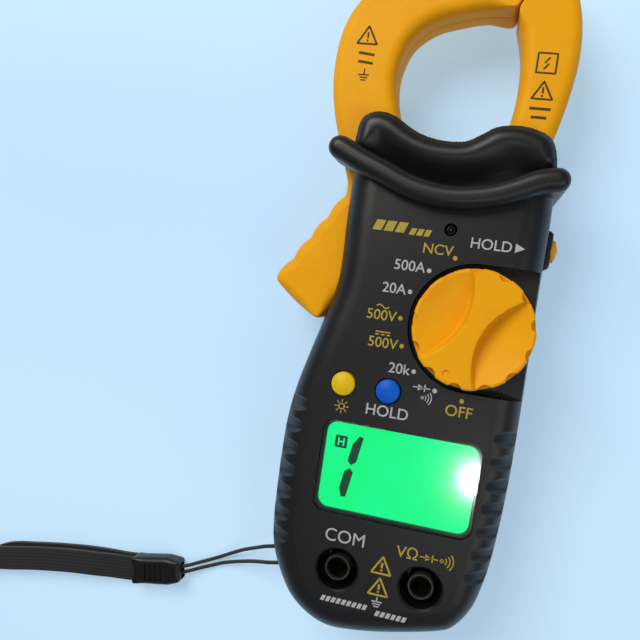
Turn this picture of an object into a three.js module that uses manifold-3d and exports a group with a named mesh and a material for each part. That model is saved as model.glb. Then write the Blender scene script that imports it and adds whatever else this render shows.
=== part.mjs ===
// Pocket AC clamp meter with test sockets and a wrist strap, lying on its back.
// Millimetres. z = 0 is the back, +Z leaves the face, +Y runs to the jaws, +X is right seen from the front.
// x = 0 lies midway between the sockets, and y = 0 is about the middle of the length.
import * as THREE from "three";
import { mergeVertices } from "three/addons/utils/BufferGeometryUtils.js";
import Module from "manifold-3d";

const wasm = await Module();
wasm.setup();

// ---------- sizes that can be set by themselves ----------
const bodyWidth = 52.1; // at its widest
const faceZ = 26; // back to front face
const partingZ = 11; // where the two casings meet
const wall = 2;
const faceWall = 2.4;
const roll = 5; // rounding of the casing's edges
const joint = 0.3; // gap between pieces that touch
const running = 0.3; // radial clearance of turning and sliding pieces

const jawOpening = 27.5; // between the arms
const jawUnder = 7; // casing and air behind the jaws
const jawOver = 6; // casing and air in front of the jaws
const movingArm = 15; // width of the moving jaw's arm
const fixedArm = 11.9;
const coreWidth = 5;
const coreGap = 0.5; // core to jaw shell
const leverRadius = 28; // trigger's lower edge about the pivot
const pinRadius = 2.5;
const pivotFromLeft = 13;
const pivotY = 21.5;

const socketPitch = 19;
const socketY = -60;
const socketBore = 2; // radius, for 4 mm plugs
const socketSleeve = 2.9; // contact's outer radius
const socketWell = 4.65; // radius of the ring-shaped well round each contact
const socketWall = 1;

const windowWidth = 36.9;
const windowHeight = 23;
const windowX = 0.6;
const windowY = -36.9;
const windowLedge = 0.8;
const windowThick = 0.8;

const buttonRadius = 2.7;
const buttonY = -18;
const buttonXs = { backlight: -14.1, hold: -4 };
const buttonStand = 1.5; // how far a button stands above the face
const buttonTravel = 0.8;

const dialRadius = 13;
const dialRise = 4; // above the face
const dialY = -1.6;
const dialEdge = 0; // dial to the right side of the case
const dialFloorZ = 22; // floor of its round well
const dialPointer = 157.5; // degrees from +Y, anticlockwise: the range that it rests on
const dialNotches = 12;
const shaftRadius = 3;

const sideButtonRadius = 2.55;
const sideButtonY = 18;
const sideButtonZ = 14.6;
const sideButtonStand = 2.7;
const sideButtonTravel = 1.2;

const cellRadius = 5.25; // two AAA cells
const cellLength = 44.5;
const cellPitch = 12;
const cellZ = 7.6;
const cellTopY = -8.6;

const boardZ = 13.5; // underside of the circuit board
const boardThick = 1.6;
const switchHeight = 3.5;

const screwShank = 1.1;
const screwHead = 2.6;
const postRadius = 3.2;

const guardWidth = 5.2;
const guardRise = 4.4;
const valleyDepth = 3; // between the guard and the collar
const grooveCount = 7;
const groovePitch = 5.2;
const grooveTopY = -24.2;

const cordRadius = 0.5;
const cordHoleRadius = 1;
const bandWidth = 6.6;
const bandThick = 1.25;
const crimpLength = 14;
const crimpWidth = 7.6;
const crimpHeight = 5;

// ---------- places that follow from them ----------
const left = -bodyWidth / 2 - 0.95;
const right = bodyWidth / 2 - 0.95;
const wide = (bodyWidth - 52.1) / 2; // what lies at the sides moves out by this much
const jawFrontZ = faceZ - jawOver;
const jawBackZ = jawUnder;
const jawMidZ = (jawFrontZ + jawBackZ) / 2;
const jawOuter = left - 1.6; // outside of the moving arm
const jawLeft = jawOuter + movingArm; // inside of the moving arm
const jawRight = jawLeft + jawOpening + 2 * wide; // inside of the fixed arm
const jawFar = jawRight + fixedArm; // outside of the fixed arm
const pivot = [left + pivotFromLeft, pivotY];
const springSeatX = pivot[0] + 10; // rib that the jaw's return spring pushes against
const springY = pivotY - 8.7;
const dialX = right - dialEdge - dialRadius;
const dialWell = dialRadius + 1.1;
const boardTopZ = boardZ + boardThick;
const faceInZ = faceZ - faceWall;
const switchTopZ = boardTopZ + joint + switchHeight;
const degrees = Math.PI / 180;

// ---------- making and joining solids ----------
function solid(geometry) {
  const bare = geometry.clone();
  bare.deleteAttribute("normal");
  bare.deleteAttribute("uv");
  const merged = mergeVertices(bare, 1e-4);
  return new wasm.Manifold(
    new wasm.Mesh({
      numProp: 3,
      vertProperties: new Float32Array(merged.attributes.position.array),
      triVerts: new Uint32Array(merged.index.array),
    }),
  );
}

function geometryOf(made) {
  const mesh = made.getMesh();
  const geometry = new THREE.BufferGeometry();
  geometry.setAttribute("position", new THREE.BufferAttribute(mesh.vertProperties, 3));
  geometry.setIndex(new THREE.BufferAttribute(mesh.triVerts, 1));
  geometry.computeVertexNormals();
  return geometry;
}

function slab(x0, x1, y0, y1, z0, z1) {
  const box = new THREE.BoxGeometry(x1 - x0, y1 - y0, z1 - z0);
  box.translate((x0 + x1) / 2, (y0 + y1) / 2, (z0 + z1) / 2);
  return solid(box);
}

// A drum along Z. The second radius is the upper one.
function drum(x, y, radius, z0, z1, sides = 24, upper = radius) {
  const cylinder = new THREE.CylinderGeometry(upper, radius, z1 - z0, sides);
  cylinder.rotateX(Math.PI / 2);
  cylinder.translate(x, y, (z0 + z1) / 2);
  return solid(cylinder);
}

// A drum along X.
function sideDrum(y, z, radius, x0, x1, sides = 20, outer = radius) {
  const cylinder = new THREE.CylinderGeometry(outer, radius, x1 - x0, sides);
  cylinder.rotateZ(-Math.PI / 2);
  cylinder.translate((x0 + x1) / 2, y, z);
  return solid(cylinder);
}

// A drum along Y.
function longDrum(x, z, radius, y0, y1, sides = 20) {
  const cylinder = new THREE.CylinderGeometry(radius, radius, y1 - y0, sides);
  cylinder.translate(x, (y0 + y1) / 2, z);
  return solid(cylinder);
}

function shapeOf(points) {
  return new THREE.Shape(points.map(([x, y]) => new THREE.Vector2(x, y)));
}

// A flat outline raised from z0 to z1, its edges rounded by bevel at either end.
function prism(points, z0, z1, bevel = 0, steps = 2) {
  const raised = new THREE.ExtrudeGeometry(shapeOf(points), {
    depth: z1 - z0 - 2 * bevel,
    bevelEnabled: bevel > 0,
    bevelThickness: bevel,
    bevelSize: bevel,
    bevelOffset: -bevel,
    bevelSegments: steps,
  });
  raised.translate(0, 0, z0 + bevel);
  return solid(raised);
}

// A smooth run through the points.
function smooth(points, count, closed = false) {
  const run = new THREE.CatmullRomCurve3(
    points.map(([x, y]) => new THREE.Vector3(x, y, 0)),
    closed,
    "centripetal",
  );
  const found = run.getSpacedPoints(count).map((p) => [p.x, p.y]);
  return closed ? found.slice(0, -1) : found;
}

function roundedBox(x, y, width, height, corner, steps = 4) {
  const points = [];
  const reach = [width / 2 - corner, height / 2 - corner];
  [[1, 1], [-1, 1], [-1, -1], [1, -1]].forEach(([sx, sy], quarter) => {
    for (let i = 0; i <= steps; i++) {
      const turn = (quarter + i / steps) * 90 * degrees;
      points.push([
        x + sx * reach[0] + corner * Math.cos(turn),
        y + sy * reach[1] + corner * Math.sin(turn),
      ]);
    }
  });
  return points;
}

// Moves each point of a closed anticlockwise outline inwards.
function inset(points, distance) {
  return points.map(([x, y], i) => {
    const [ax, ay] = points[(i + points.length - 1) % points.length];
    const [bx, by] = points[(i + 1) % points.length];
    const length = Math.hypot(bx - ax, by - ay);
    return [x - ((by - ay) / length) * distance, y + ((bx - ax) / length) * distance];
  });
}

// A strip of even width along a run of points.
function ribbon(points, width) {
  const sides = [[], []];
  points.forEach(([x, y], i) => {
    const [ax, ay] = points[Math.max(i - 1, 0)];
    const [bx, by] = points[Math.min(i + 1, points.length - 1)];
    const length = Math.hypot(bx - ax, by - ay);
    const across = [(-(by - ay) / length) * (width / 2), ((bx - ax) / length) * (width / 2)];
    sides[0].push([x - across[0], y - across[1]]);
    sides[1].unshift([x + across[0], y + across[1]]);
  });
  return sides[0].concat(sides[1]);
}

function arc(centre, radius, from, to, count) {
  return Array.from({ length: count + 1 }, (_, i) => {
    const turn = (from + ((to - from) * i) / count) * degrees;
    return [centre[0] + radius * Math.cos(turn), centre[1] + radius * Math.sin(turn)];
  });
}

class RouteCurve extends THREE.Curve {
  constructor(place) {
    super();
    this.place = place;
  }
  getPoint(t, target = new THREE.Vector3()) {
    return target.set(...this.place(t));
  }
}

// A round tube along a curve.
function tube(curve, radius, steps, sides = 8) {
  const section = new THREE.Shape();
  for (let i = 0; i < sides; i++) {
    const turn = (2 * Math.PI * (i + 0.5)) / sides;
    const point = [radius * Math.cos(turn), radius * Math.sin(turn)];
    if (i === 0) section.moveTo(...point);
    else section.lineTo(...point);
  }
  return solid(new THREE.ExtrudeGeometry(section, { steps, extrudePath: curve, bevelEnabled: false }));
}

function joined(...solids) {
  return solids.reduce((all, one) => all.add(one));
}

// ---------- finishes ----------
const finishes = {
  charcoal: { color: 0x26262a, roughness: 0.55, metalness: 0 },
  amber: { color: 0xf2a516, roughness: 0.42, metalness: 0 },
  lemon: { color: 0xead21c, roughness: 0.4, metalness: 0 },
  blue: { color: 0x1668e0, roughness: 0.4, metalness: 0 },
  clear: { color: 0xe8fff4, roughness: 0.08, metalness: 0, transparent: true, opacity: 0.35 },
  green: { color: 0x0cf78e, roughness: 0.3, metalness: 0 },
  steel: { color: 0xb9bcc0, roughness: 0.3, metalness: 1 },
  brass: { color: 0xc9a34e, roughness: 0.35, metalness: 1 },
  copper: { color: 0xb5652b, roughness: 0.4, metalness: 0.9 },
  laminate: { color: 0x6f7378, roughness: 0.5, metalness: 0.8 },
  board: { color: 0x1c6a3c, roughness: 0.5, metalness: 0 },
  white: { color: 0xe6e6e0, roughness: 0.5, metalness: 0 },
  black: { color: 0x141416, roughness: 0.6, metalness: 0 },
  webbing: { color: 0x1d1a1a, roughness: 0.9, metalness: 0 },
};

const meter = new THREE.Group();
meter.name = "clamp_meter";

function place(name, made, finish) {
  const mesh = new THREE.Mesh(geometryOf(made), new THREE.MeshStandardMaterial(finishes[finish]));
  mesh.name = name;
  meter.add(mesh);
}

// ---------- outlines ----------
// The case seen from the front, anticlockwise from the foot: right side, collar, left side.
const caseFoot = -75.4;
function caseOutline() {
  const sideRight = [
    [6.7, caseFoot + 2.6],
    [14.5 + wide, caseFoot + 4.9],
    [right - 7.4, caseFoot + 6.6],
    [right - 4.1, caseFoot + 11],
    [right - 2.3, caseFoot + 17],
    [right - 1.2, caseFoot + 24],
    [right - 0.3, caseFoot + 37],
    [right, -26],
    [right - 0.2, 8],
    [right - 0.4, 30],
  ];
  const collar = [
    [right - 2.2, 39.4],
    [right - 3.8, 41.2],
    [right - 6.4, 42.2],
    [jawRight + 0.9, 42.7],
    [jawRight - 3.3, 42],
    [jawRight - 6.6, 39.9],
    [jawRight - 9.6, 38.3],
    [-2, 38.2],
    [jawLeft + 7.8, 39.2],
    [jawLeft + 4.9, 40.7],
    [jawLeft + 2, 42.4],
    [jawLeft - 1.1, 43.1],
    [left + 9.7, 42.5],
    [left + 8.1, 41],
  ];
  const sideLeft = [
    [left + 7.3, 36],
    [left + 7.1, 20],
    [left + 7.2, 5],
    [left + 5, -5],
    [left + 3, -12.7],
    [left + 1.1, -20.6],
    [left, -28],
    [left - 0.3, -37],
    [left - 0.2, -46],
    [left + 0.1, -53],
    [left + 0.9, caseFoot + 16.8],
    [left + 3.2, caseFoot + 11],
    [left + 7, caseFoot + 5.2],
    [left + 12, caseFoot + 1.6],
    [left + 17, caseFoot + 0.1],
    [-3, caseFoot + 0.6],
  ];
  return smooth([...sideRight, ...collar, ...sideLeft], 66, true);
}
const outline = caseOutline();

// Middle line of the hand guard, a shallow smile across the case.
const guardLine = smooth(
  [
    [left + 2.9, 34.5],
    [left + 9, 31.8],
    [left + 14.6, 29.6],
    [-5, 26.7],
    [3.2, 25.6],
    [11.3, 26.8],
    [right - 8.3, 28.9],
    [right - 3.8, 31.1],
    [right + 1, 32],
  ],
  18,
);

// The line where the two jaws meet, from the inside to the outside.
const seam = [
  [jawRight - 3, 69.9],
  [jawRight + 2.6, 82.4],
];

function movingOutline() {
  const inner = smooth(
    [
      seam[0],
      [jawRight - 10.4, 69.4],
      [jawLeft + 12.8, 68.3],
      [jawLeft + 7.2, 66.4],
      [jawLeft + 2.2, 62],
      [jawLeft, 55],
      [jawLeft + 0.3, 49.5],
      [jawLeft + 1.6, 45.1],
      [jawLeft + 3.3, 41],
      [jawLeft + 5, 33],
    ],
    18,
  );
  const boss = arc(pivot, 7, 20, -50, 5);
  const lower = arc(pivot, leverRadius, 250, 221, 7);
  const tip = lower[lower.length - 1];
  const outer = smooth(
    [
      [left + 5.5, pivotY + 6.5],
      [jawOuter + 3.2, 38.5],
      [jawOuter + 1.4, 44.2],
      [jawOuter + 0.2, 50.3],
      [jawOuter, 58],
      [jawOuter + 1.2, 64.6],
      [jawOuter + 3.9, 70],
      [jawOuter + 9.2, 76.2],
      [jawOuter + 16.4, 80.6],
      [-3, 82.3],
      [seam[1][0] - 8, 82.8],
      seam[1],
    ],
    22,
  );
  return { inner, boss, lower, tip, outer };
}

// Ridges for the thumb down the trigger's outer edge.
function triggerEdge(tip, top) {
  const points = [];
  const ridges = 4;
  const height = 0.7;
  const along = [top[0] - tip[0], top[1] - tip[1]];
  const length = Math.hypot(...along);
  const out = [-along[1] / length, along[0] / length];
  for (let i = 0; i < ridges; i++) {
    [0.12, 0.3, 0.5, 0.7, 0.88].forEach((share, j) => {
      const t = (i + share) / ridges;
      const rise = height * [0, 0.75, 1, 0.6, 0][j];
      points.push([tip[0] + along[0] * t + out[0] * rise, tip[1] + along[1] * t + out[1] * rise]);
    });
  }
  return points;
}

const moving = movingOutline();
const triggerTop = [left + 5.6, pivotY + 3.2];
const movingPoints = [
  ...moving.inner,
  ...moving.boss,
  [pivot[0] + 0.5, pivotY - 13],
  ...moving.lower,
  ...triggerEdge(moving.tip, triggerTop),
  triggerTop,
  ...moving.outer,
].reverse();

// Fixed jaw: its root sits between the casings and its arm rises to the seam.
const rootLeft = jawRight - 2.6;
const rootRight = right - wall - 0.9;
const rootFoot = 24.5;
const fixedPoints = [
  [rootLeft, rootFoot],
  [rootRight, rootFoot],
  ...smooth(
    [
      [rootRight, 36],
      [jawFar - 2.9, 41.3],
      [jawFar - 1.6, 47.3],
      [jawFar - 0.5, 54],
      [jawFar, 60.5],
      [jawFar - 0.6, 68],
      [jawFar - 2.3, 74],
      [jawFar - 4.8, 78.8],
      [jawFar - 7, 81.4],
      [seam[1][0] + joint + 0.4, 82.4],
    ],
    14,
  ),
  ...smooth(
    [
      [seam[0][0] + joint + 0.1, 69.8],
      [jawRight - 1.6, 65.5],
      [jawRight - 0.4, 60.5],
      [jawRight, 53.3],
      [jawRight - 0.3, 48.1],
      [jawRight - 1, 43.6],
      [rootLeft, 38],
    ],
    10,
  ),
];

// ---------- cores and coil ----------
const footY = 29.7; // middle of the core's foot, which carries the coil
const fixedCoreX = (jawRight + jawFar) / 2 - 0.4;
const footEndX = pivot[0] + 8.6;
const footTopX = fixedCoreX - 3;
const fixedCoreLine = [
  ...smooth([[footTopX, footY], [fixedCoreX - 1.6, footY + 2], [fixedCoreX, footY + 7]], 4),
  ...smooth(
    [
      [fixedCoreX + 0.2, 44],
      [fixedCoreX + 0.7, 56],
      [fixedCoreX, 67],
      [fixedCoreX - 2.1, 73.4],
    ],
    7,
  ),
];
const movingCoreLine = smooth(
  [
    [pivot[0] + 5.4, pivotY + 8.6],
    [pivot[0] + 2.6, pivotY + 13.5],
    [jawLeft - 5.2, 42],
    [jawLeft - 7.3, 50],
    [jawLeft - 7.6, 57],
    [jawLeft - 5.4, 64.6],
    [jawLeft - 0.2, 70.4],
    [jawLeft + 9, 74.2],
    [jawRight - 11, 75.9],
    [jawRight - 0.6, 76.1],
  ],
  18,
);
const coreZ = [jawMidZ - coreWidth / 2, jawMidZ + coreWidth / 2];

// A block that starts at the line where the jaws meet and reaches right (side 1) or left (side -1).
function beyondSeam(side) {
  const run = [seam[1][0] - seam[0][0], seam[1][1] - seam[0][1]];
  const length = Math.hypot(...run);
  const across = [run[1] / length, -run[0] / length];
  const reach = 16;
  const at = (along, out) => [
    seam[0][0] + run[0] * along + across[0] * side * out,
    seam[0][1] + run[1] * along + across[1] * side * out,
  ];
  const corners = [at(-0.4, -joint), at(1.6, -joint), at(1.6, reach), at(-0.4, reach)];
  return prism(side > 0 ? corners.reverse() : corners, 0, faceZ);
}

function halves(points, cavity) {
  const whole = prism(points, jawBackZ, jawFrontZ, 1.6, 2);
  const hollow = whole.subtract(cavity);
  const front = hollow.intersect(slab(-90, 90, -90, 140, jawMidZ + joint / 2, faceZ));
  const rear = hollow.intersect(slab(-90, 90, -90, 140, 0, jawMidZ - joint / 2));
  return [front, rear];
}

function coreChannel(line) {
  return prism(ribbon(line, coreWidth + 2 * coreGap), coreZ[0] - coreGap, coreZ[1] + coreGap);
}

function makeMovingJaw() {
  const channelLine = movingCoreLine.concat([[jawRight + 2.5, 76.2]]);
  const start = [pivot[0] + 9, pivotY + 5.8];
  const cavity = joined(
    coreChannel([start, ...channelLine]),
    drum(...pivot, pinRadius + running, -1, faceZ + 1, 20),
  );
  const [front, rear] = halves(movingPoints, cavity);
  place("moving_jaw_front", front, "amber");
  place("moving_jaw_rear", rear, "amber");
  const core = prism(ribbon(movingCoreLine, coreWidth), ...coreZ);
  place("moving_core", core.subtract(beyondSeam(1)), "laminate");
}

function makeFixedJaw() {
  const rise = fixedCoreLine.slice(-1)[0];
  const channel = coreChannel([...fixedCoreLine.slice(4), [rise[0] - 6, rise[1] + 4]]);
  const mouth = slab(rootLeft - 1, fixedCoreX + 3.3, rootFoot - 1, footY + 8, coreZ[0] - coreGap, coreZ[1] + coreGap);
  const [front, rear] = halves(fixedPoints, joined(channel, mouth));
  place("fixed_jaw_front", front, "amber");
  place("fixed_jaw_rear", rear, "amber");
  const post = ribbon([...fixedCoreLine, [rise[0] - 3.2, rise[1] + 2.4]], coreWidth);
  const foot = slab(footEndX, footTopX + 0.1, footY - coreWidth / 2, footY + coreWidth / 2, ...coreZ);
  place("fixed_core", joined(prism(post, ...coreZ).subtract(beyondSeam(-1)), foot), "laminate");
}

const bobbinX = [footEndX + 1.2, rootLeft - 0.6];
function makeCoil() {
  const reach = 4.7; // half the flange
  const hub = coreWidth / 2 + 1.1;
  const flange = 0.9;
  const blocks = [
    [...bobbinX, hub],
    [bobbinX[0], bobbinX[0] + flange, reach],
    [bobbinX[1] - flange, bobbinX[1], reach],
  ].map(([x0, x1, r]) => slab(x0, x1, footY - r, footY + r, jawMidZ - r, jawMidZ + r));
  const bore = coreWidth / 2 + joint;
  const through = slab(-60, 60, footY - bore, footY + bore, jawMidZ - bore, jawMidZ + bore);
  place("coil_bobbin", joined(...blocks).subtract(through), "white");
  const wound = [bobbinX[0] + flange + joint, bobbinX[1] - flange - joint];
  const outside = reach - 0.5;
  const turns = prism(roundedBox(footY, jawMidZ, 2 * outside, 2 * outside, 1.4), ...wound);
  const inside = hub + joint;
  const winding = turns.subtract(prism(roundedBox(footY, jawMidZ, 2 * inside, 2 * inside, 0.3, 1), -60, 60));
  // The block was raised along Z: turn it so that it runs along X.
  const shown = geometryOf(winding);
  shown.applyMatrix4(new THREE.Matrix4().set(0, 0, 1, 0, 1, 0, 0, 0, 0, 1, 0, 0, 0, 0, 0, 1));
  place("coil_winding", solid(shown), "copper");
}

// ---------- casings ----------
const posts = [
  [left + 6.2, socketY],
  [right - 7.4, socketY],
  [left + 9.4, -11.4],
  [right - 13, 18.6],
];

// Room that the moving jaw and trigger need between the casings.
function jawRoom() {
  const lowZ = jawBackZ - 0.7;
  const highZ = jawFrontZ + 0.7;
  const inner = pivot[0] + 6;
  const sweep = drum(...pivot, leverRadius + 0.6, lowZ, highZ, 72);
  const low = sweep.intersect(slab(left - 30, inner, -40, pivotY, lowZ, highZ));
  return joined(low, slab(left - 30, inner, pivotY - 12, 70, lowZ, highZ));
}

function caseBody() {
  const body = prism(outline, 0, faceZ, roll, 3);
  const guard = prism(ribbon(guardLine, guardWidth), 1.6, faceZ + guardRise, 1.8, 2);
  const dip = prism(
    ribbon(guardLine.slice(3, -2).map(([x, y]) => [x, y + guardWidth / 2 + 2.2]), 3.8),
    faceZ - valleyDepth,
    faceZ + 8,
  );
  return joined(body, guard).subtract(dip.subtract(guard));
}

function grooves() {
  // Each groove is a shallow trough that runs over the rolled edge.
  const cuts = [];
  const radius = 2.2;
  const bite = 0.75;
  const lean = Math.SQRT1_2;
  for (let i = 0; i < grooveCount; i++) {
    const y = grooveTopY - i * groovePitch;
    [-1, 1].forEach((side) => {
      const edge = outline
        .filter(([x]) => x * side > 0)
        .reduce((near, p) => (Math.abs(p[1] - y) < Math.abs(near[1] - y) ? p : near));
      const out = (roll + radius - bite) * lean;
      const trough = new THREE.CylinderGeometry(radius, radius, 12, 10);
      trough.rotateX(Math.PI / 2);
      trough.rotateY((-side * Math.PI) / 4);
      trough.translate(edge[0] - side * roll + side * out, y, faceZ - roll + out);
      cuts.push(solid(trough));
    });
  }
  return joined(...cuts);
}

// The roof is thicker over the jaws' roots, where the valley is cut into the face.
const thickRoof = slab(-90, 90, 21.5, 90, jawFrontZ + 0.7, faceZ);
const hollow = prism(inset(outline, wall), wall, faceInZ, 2, 1).subtract(thickRoof);
const body = caseBody().subtract(grooves());
const rootRoom = prism(
  inset(
    [[rootLeft, rootFoot], [rootRight, rootFoot], [right - 1, 44], [rootLeft, 44]],
    -joint,
  ),
  jawBackZ - joint,
  jawFrontZ + joint,
);

function screwPosts(z0, z1, radius) {
  return joined(...posts.map(([x, y]) => drum(x, y, radius, z0, z1, 16)));
}

function pads() {
  // A raised surround for the side button.
  const plate = new THREE.BoxGeometry(2.4, 8.8, 6.4);
  plate.translate(right + 0.1, sideButtonY, sideButtonZ);
  return solid(plate);
}

function makeFrontCasing() {
  const zone = slab(-90, 90, -120, 90, partingZ + joint / 2, faceZ + 20);
  let casing = joined(body, pads()).subtract(hollow);
  casing = casing.subtract(slab(right - 12, right - wall, sideButtonY - 5, sideButtonY + 5, partingZ, 19));
  const dialPost = drum(dialX, dialY, dialWell + wall, dialFloorZ - 1.6, faceInZ + 0.5, 48);
  const inside = prism(inset(outline, 1), -1, faceZ);
  casing = joined(casing, dialPost.intersect(inside));
  casing = joined(casing, screwPosts(partingZ, faceInZ + 0.5, postRadius));
  casing = joined(casing, drum(...pivot, 5, jawFrontZ + 0.6, faceInZ + 0.5, 20));
  const sockets = [-0.5, 0.5].map((side) => side * socketPitch);
  sockets.forEach((x) => {
    const outer = socketWell + socketWall;
    casing = joined(casing, drum(x, socketY, outer, partingZ + joint, faceInZ + 0.5, 32));
  });
  casing = casing.intersect(zone).subtract(jawRoom()).subtract(rootRoom);
  casing = casing.subtract(drum(...pivot, pinRadius + joint, 0, faceInZ, 20));
  const across = dialWell;
  const dialCut = joined(
    drum(dialX, dialY, across, dialFloorZ, faceZ + 9, 64),
    slab(dialX, right + 9, dialY - across, dialY + across, dialFloorZ, faceZ + 3),
  );
  casing = casing.subtract(dialCut);
  casing = casing.subtract(drum(dialX, dialY, shaftRadius + 1 + running, 0, faceZ, 24));
  const rebate = [windowWidth + 2 * joint, windowHeight + 2 * joint];
  const through = [windowWidth - 2 * windowLedge, windowHeight - 2 * windowLedge];
  const ledgeZ = faceZ - windowThick - 2 * joint;
  casing = casing.subtract(prism(roundedBox(windowX, windowY, ...rebate, 3.2), ledgeZ, faceZ + 3));
  casing = casing.subtract(prism(roundedBox(windowX, windowY, ...through, 2.7), 15, faceZ + 3));
  sockets.forEach((x) => {
    casing = casing.subtract(drum(x, socketY, socketWell, 0, faceZ + 3, 32));
  });
  Object.values(buttonXs).forEach((x) => {
    casing = casing.subtract(drum(x, buttonY, buttonRadius + running, 0, faceZ + 3, 24));
  });
  casing = casing.subtract(sideDrum(sideButtonY, sideButtonZ, sideButtonRadius + running, right - 6, right + 6));
  posts.forEach(([x, y]) => {
    casing = casing.subtract(drum(x, y, screwShank + joint, 0, faceInZ - 2, 12));
  });
  casing = casing.subtract(drum(lampX, lampY, lampRadius + joint, 0, faceZ + 3, 16));
  place("front_casing", casing, "charcoal");
}

const lampX = 4.2;
const lampY = 19;
const lampRadius = 1.1;

const door = { x: -0.5, y: -33.6, width: 27, height: 58, corner: 3, thick: 1.6 };
const doorScrew = [0, socketY];

function cordHoles() {
  const cuts = cordEnds.map(([x, y]) => {
    const hole = new THREE.CylinderGeometry(cordHoleRadius, cordHoleRadius, 6, 12);
    hole.rotateZ(Math.PI / 2 + cordExitTurn * degrees);
    hole.translate(x, y, cordZ);
    return solid(hole);
  });
  return joined(...cuts);
}

function makeRearCasing() {
  const zone = slab(-90, 90, -120, 90, -1, partingZ - joint / 2);
  const inside = prism(inset(outline, 1), 0, partingZ);
  let casing = body.subtract(hollow);
  const ledge = prism(roundedBox(door.x, door.y, door.width + 3, door.height + 3, door.corner), wall - 0.5, 3.4);
  casing = joined(casing, ledge.intersect(inside));
  casing = joined(casing, screwPosts(1, partingZ - joint / 2, postRadius + 1).intersect(inside));
  casing = joined(casing, drum(...pivot, 5, 1, jawBackZ - 0.6, 20));
  const springWall = slab(springSeatX, springSeatX + 1.4, springY - 3.6, springY + 3.6, 1, jawMidZ + 3);
  casing = casing.intersect(zone).subtract(jawRoom()).subtract(rootRoom);
  casing = joined(casing, springWall);
  casing = joined(casing, drum(...doorScrew, 2.9, 3, 8.6, 16));
  casing = casing.subtract(drum(...pivot, pinRadius + joint, wall, faceZ, 20));
  const opening = roundedBox(door.x, door.y, door.width + 2 * joint, door.height + 2 * joint, door.corner);
  casing = casing.subtract(prism(opening, -1, door.thick + joint));
  const inner = roundedBox(door.x, door.y + 2.8, door.width - 3.4, door.height - 8.6, door.corner - 1);
  casing = casing.subtract(prism(inner, -1, 6));
  casing = casing.subtract(drum(...doorScrew, screwShank + joint, 0, 8, 12));
  posts.forEach(([x, y]) => {
    casing = casing.subtract(drum(x, y, screwHead + joint, -1, 2.7, 20));
    casing = casing.subtract(drum(x, y, screwShank + joint, 0, faceZ, 12));
  });
  casing = casing.subtract(cordHoles());
  place("rear_casing", casing, "charcoal");
}

function makeDoor() {
  const plate = prism(roundedBox(door.x, door.y, door.width, door.height, door.corner), 0, door.thick);
  const lipOuter = roundedBox(door.x, door.y + 2.8, door.width - 4, door.height - 9.2, door.corner - 1);
  const lipInner = inset(lipOuter, 1.2);
  const lip = prism(lipOuter, 1, 2.3).subtract(prism(lipInner, 0.9, 3));
  const ribs = [-3, -2, -1, 0, 1, 2, 3].map((i) => {
    const y = door.y - 16 + i * 1.8;
    return slab(door.x - 6, door.x + 6, y - 0.45, y + 0.45, -1, 0.5);
  });
  const sunk = drum(...doorScrew, screwHead + joint, -1, 0.9, 20);
  const hole = drum(...doorScrew, screwShank + joint, -1, 4, 12);
  const made = joined(plate, lip).subtract(joined(...ribs)).subtract(sunk).subtract(hole);
  place("battery_door", made, "charcoal");
}

function screw(x, y, z0, length, headThick) {
  const head = drum(x, y, screwHead, z0, z0 + headThick, 20);
  const shank = drum(x, y, screwShank, z0 + 0.2, z0 + length, 10);
  const slotA = slab(x - 1.5, x + 1.5, y - 0.3, y + 0.3, z0 - 1, z0 + headThick / 2);
  const slotB = slab(x - 0.3, x + 0.3, y - 1.5, y + 1.5, z0 - 1, z0 + headThick / 2);
  return joined(head, shank).subtract(slotA).subtract(slotB);
}

function makeFasteners() {
  posts.forEach(([x, y], i) => {
    place("case_screw_" + (i + 1), screw(x, y, 1, faceInZ - 6, 1.4), "steel");
  });
  place("battery_door_screw", screw(...doorScrew, 0.1, 6.3, 0.55), "steel");
  place("jaw_pivot_pin", drum(...pivot, pinRadius, wall + joint, faceInZ - joint, 20), "steel");
}

// ---------- range dial ----------
const dialTopZ = faceZ + dialRise;

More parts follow.
